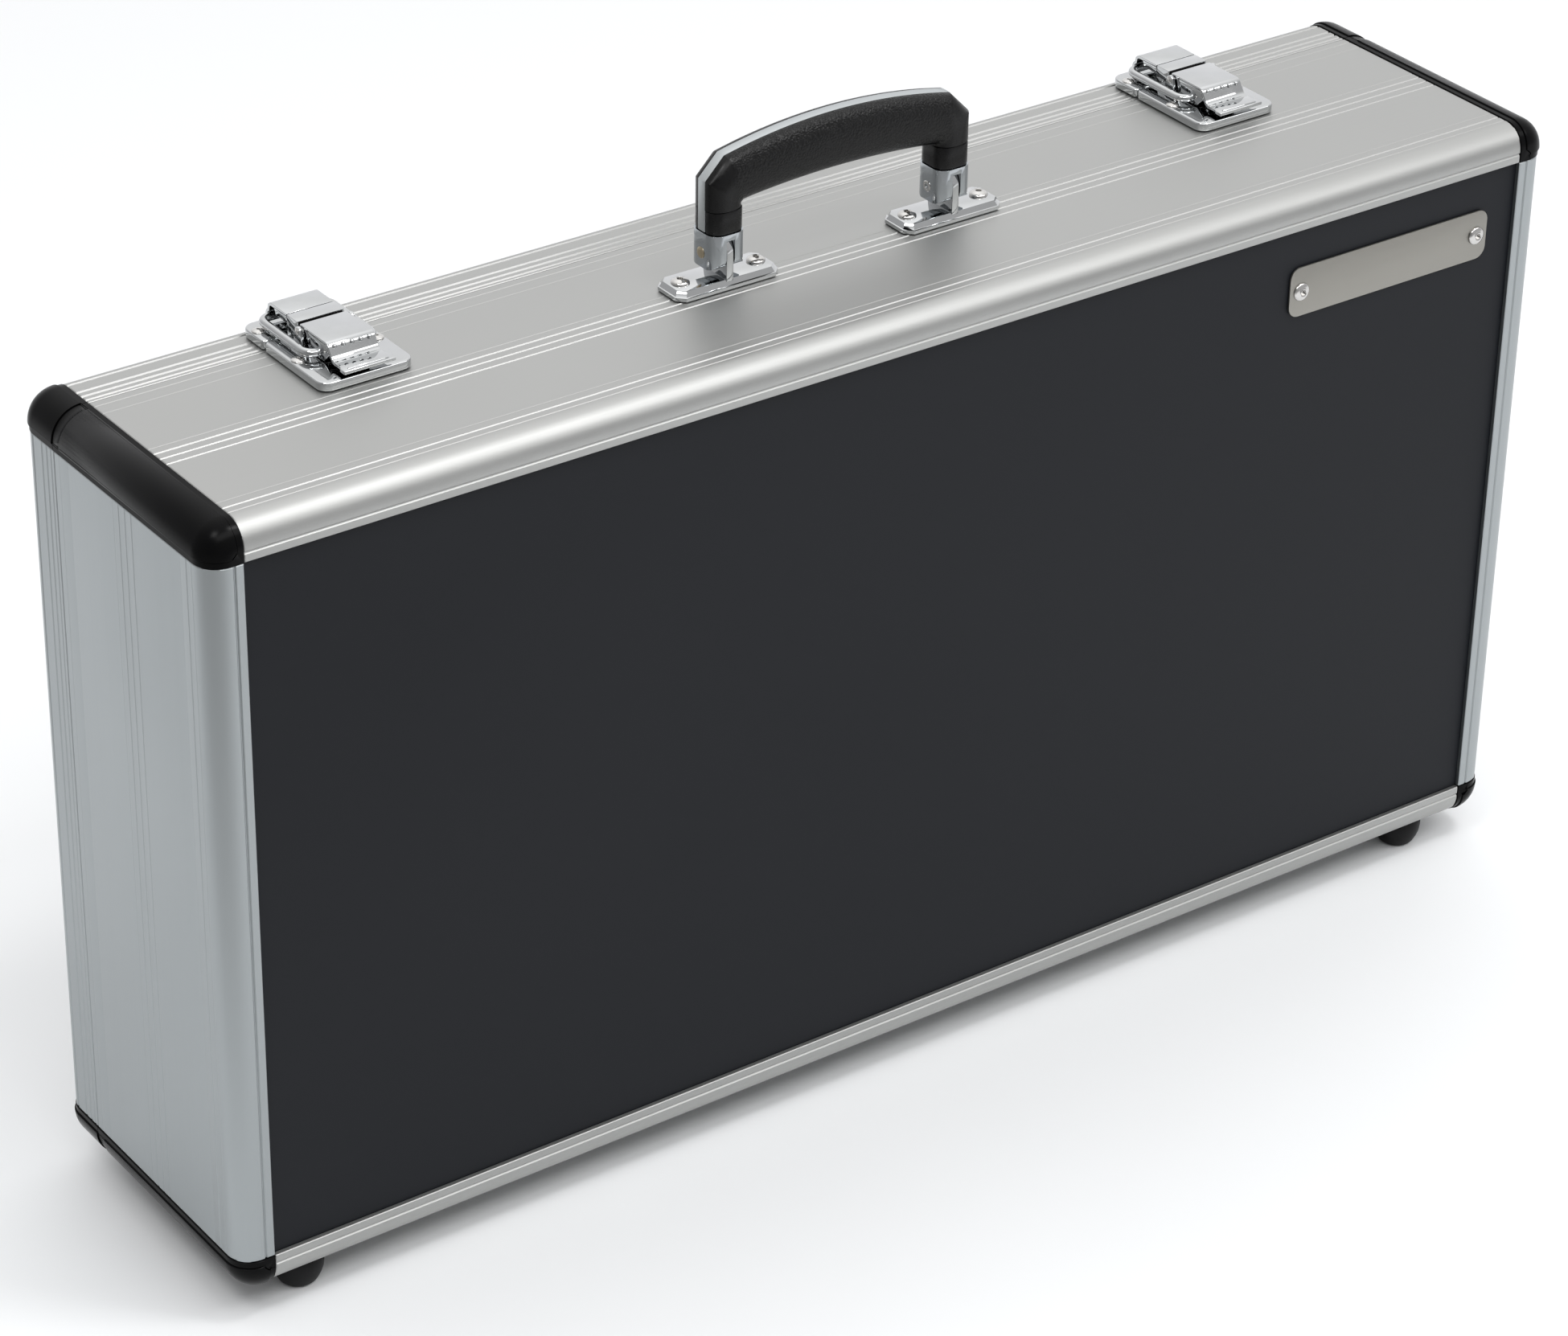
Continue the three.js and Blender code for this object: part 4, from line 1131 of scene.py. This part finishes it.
# ---- camera and studio
# camera in metres and degrees: where it stands, its turn from +Y to +X, its tilt down and its roll
CAMERA_AT = Vector((-1.0364, -1.4000, 1.1782))
CAMERA_YAW = 36.04
CAMERA_PITCH = 30.44
CAMERA_ROLL = 1.03
CAMERA_LENS = 114.46


def make_camera():
    data = bpy.data.cameras.new("camera")
    data.lens = CAMERA_LENS
    data.sensor_width = 36.0
    camera = bpy.data.objects.new("camera", data)
    bpy.context.scene.collection.objects.link(camera)
    turn = Matrix.Rotation(math.radians(-CAMERA_YAW), 4, "Z")
    tilt = Matrix.Rotation(math.radians(90 - CAMERA_PITCH), 4, "X")
    roll = Matrix.Rotation(math.radians(CAMERA_ROLL), 4, "Z")
    camera.matrix_world = Matrix.Translation(CAMERA_AT) @ turn @ tilt @ roll
    bpy.context.scene.camera = camera


def area_light(name, place_at, target, size, power):
    data = bpy.data.lights.new(name, "AREA")
    data.shape = "RECTANGLE"
    data.size, data.size_y = size
    data.energy = power
    light = bpy.data.objects.new(name, data)
    bpy.context.scene.collection.objects.link(light)
    light.location = place_at
    light.rotation_euler = (Vector(target) - Vector(place_at)).to_track_quat("-Z", "Y").to_euler()


def make_world():
    """Soft studio surround: brightest above and behind, darker towards the left."""
    world = bpy.data.worlds.new("studio")
    bpy.context.scene.world = world
    world.use_nodes = True
    nodes, links = world.node_tree.nodes, world.node_tree.links
    place_node = nodes.new("ShaderNodeTexCoord")
    split = nodes.new("ShaderNodeSeparateXYZ")
    ramp = nodes.new("ShaderNodeValToRGB")
    links.new(place_node.outputs["Generated"], split.inputs[0])
    links.new(split.outputs["Z"], ramp.inputs["Fac"])
    elements = ramp.color_ramp.elements
    elements[0].position, elements[0].color = 0.0, (0.62, 0.62, 0.63, 1)
    elements[1].position, elements[1].color = 1.0, (1.0, 1.0, 1.0, 1)
    for position, tone in ((0.3, (0.62, 0.62, 0.63)), (0.5, (0.64, 0.64, 0.64)), (0.75, (0.8, 0.8, 0.8))):
        element = elements.new(position)
        element.color = (*tone, 1)
    links.new(ramp.outputs["Color"], nodes["Background"].inputs["Color"])
    strength = nodes.new("ShaderNodeMath")
    strength.operation = "MULTIPLY"
    falloffs = (("Y", -0.5, 0.35, 0.9, 1.7), ("X", -0.7, 0.1, 0.45, 1.0))
    for index, (axis, start, end, low, high) in enumerate(falloffs):
        ramped = nodes.new("ShaderNodeMapRange")
        links.new(split.outputs[axis], ramped.inputs["Value"])
        for key, value in (("From Min", start), ("From Max", end), ("To Min", low), ("To Max", high)):
            ramped.inputs[key].default_value = value
        links.new(ramped.outputs["Result"], strength.inputs[index])
    links.new(strength.outputs[0], nodes["Background"].inputs["Strength"])


def make_stage():
    """White floor with painted shade: it darkens far away and towards the front left, which the case
    reflects.
    """
    bm = bmesh.new()
    bmesh.ops.create_grid(bm, x_segments=8, y_segments=8, size=6000)
    floor = finish("studio_floor", bm)
    look = Look("studio_floor", Roughness=0.8, Specular_IOR_Level=0.2)
    away = look.node("ShaderNodeVectorMath", operation="LENGTH")
    look.tree.links.new(look.place, away.inputs[0])
    # Painted shade: the floor darkens with distance and towards the front left, so the case reflects a darker
    # surround there. The small noise is a faint random tone.
    distance = look.span(away.outputs["Value"], 0.0, 0.25, 1.8, 3.8)
    corner = look.node("ShaderNodeVectorMath", operation="DOT_PRODUCT")
    look.tree.links.new(look.place, corner.inputs[0])
    corner.inputs[1].default_value = (-0.8, -0.6, 0.0)
    shade = look.span(corner.outputs["Value"], 0.0, 0.75, 0.36, 0.8)
    soft = look.mix(look.mix(distance, shade, kind="MAXIMUM"), look.span(look.noise(2.0), -0.02, 0.02))
    look.colours(soft, (0.0, (0.86, 0.87, 0.88)), (1.0, (0.22, 0.215, 0.21)))
    floor.data.materials.append(look.material)
    make_world()
    area_light("key", (0.5, -1.42, 2.0), (0.5, 0, 0.3), (4.0, 0.75), 25.0)
    area_light("sparkle", (0.48, -0.74, 2.15), (0, 0, 0.35), (0.35, 0.35), 9.0)
    area_light("left", (-1.25, -0.6, 2.15), (-0.2, 0, 0.3), (0.6, 0.6), 9.0)
    bpy.context.scene.view_settings.view_transform = "Standard"


make_camera()
make_rails("base", base_profile)
make_rails("lid", lid_profile)
make_corners("base", 0.0, BASE_END, STRIP_BAND)
make_corners("lid", DEPTH, LID_START, 0.0)
make_panels()
make_badge()
make_feet()
make_handle()
make_latches()
make_hinges()
make_pad("base_foam_pad", "base", True, 0)
make_pad("lid_foam_pad", "lid", False, 22)
make_stage()
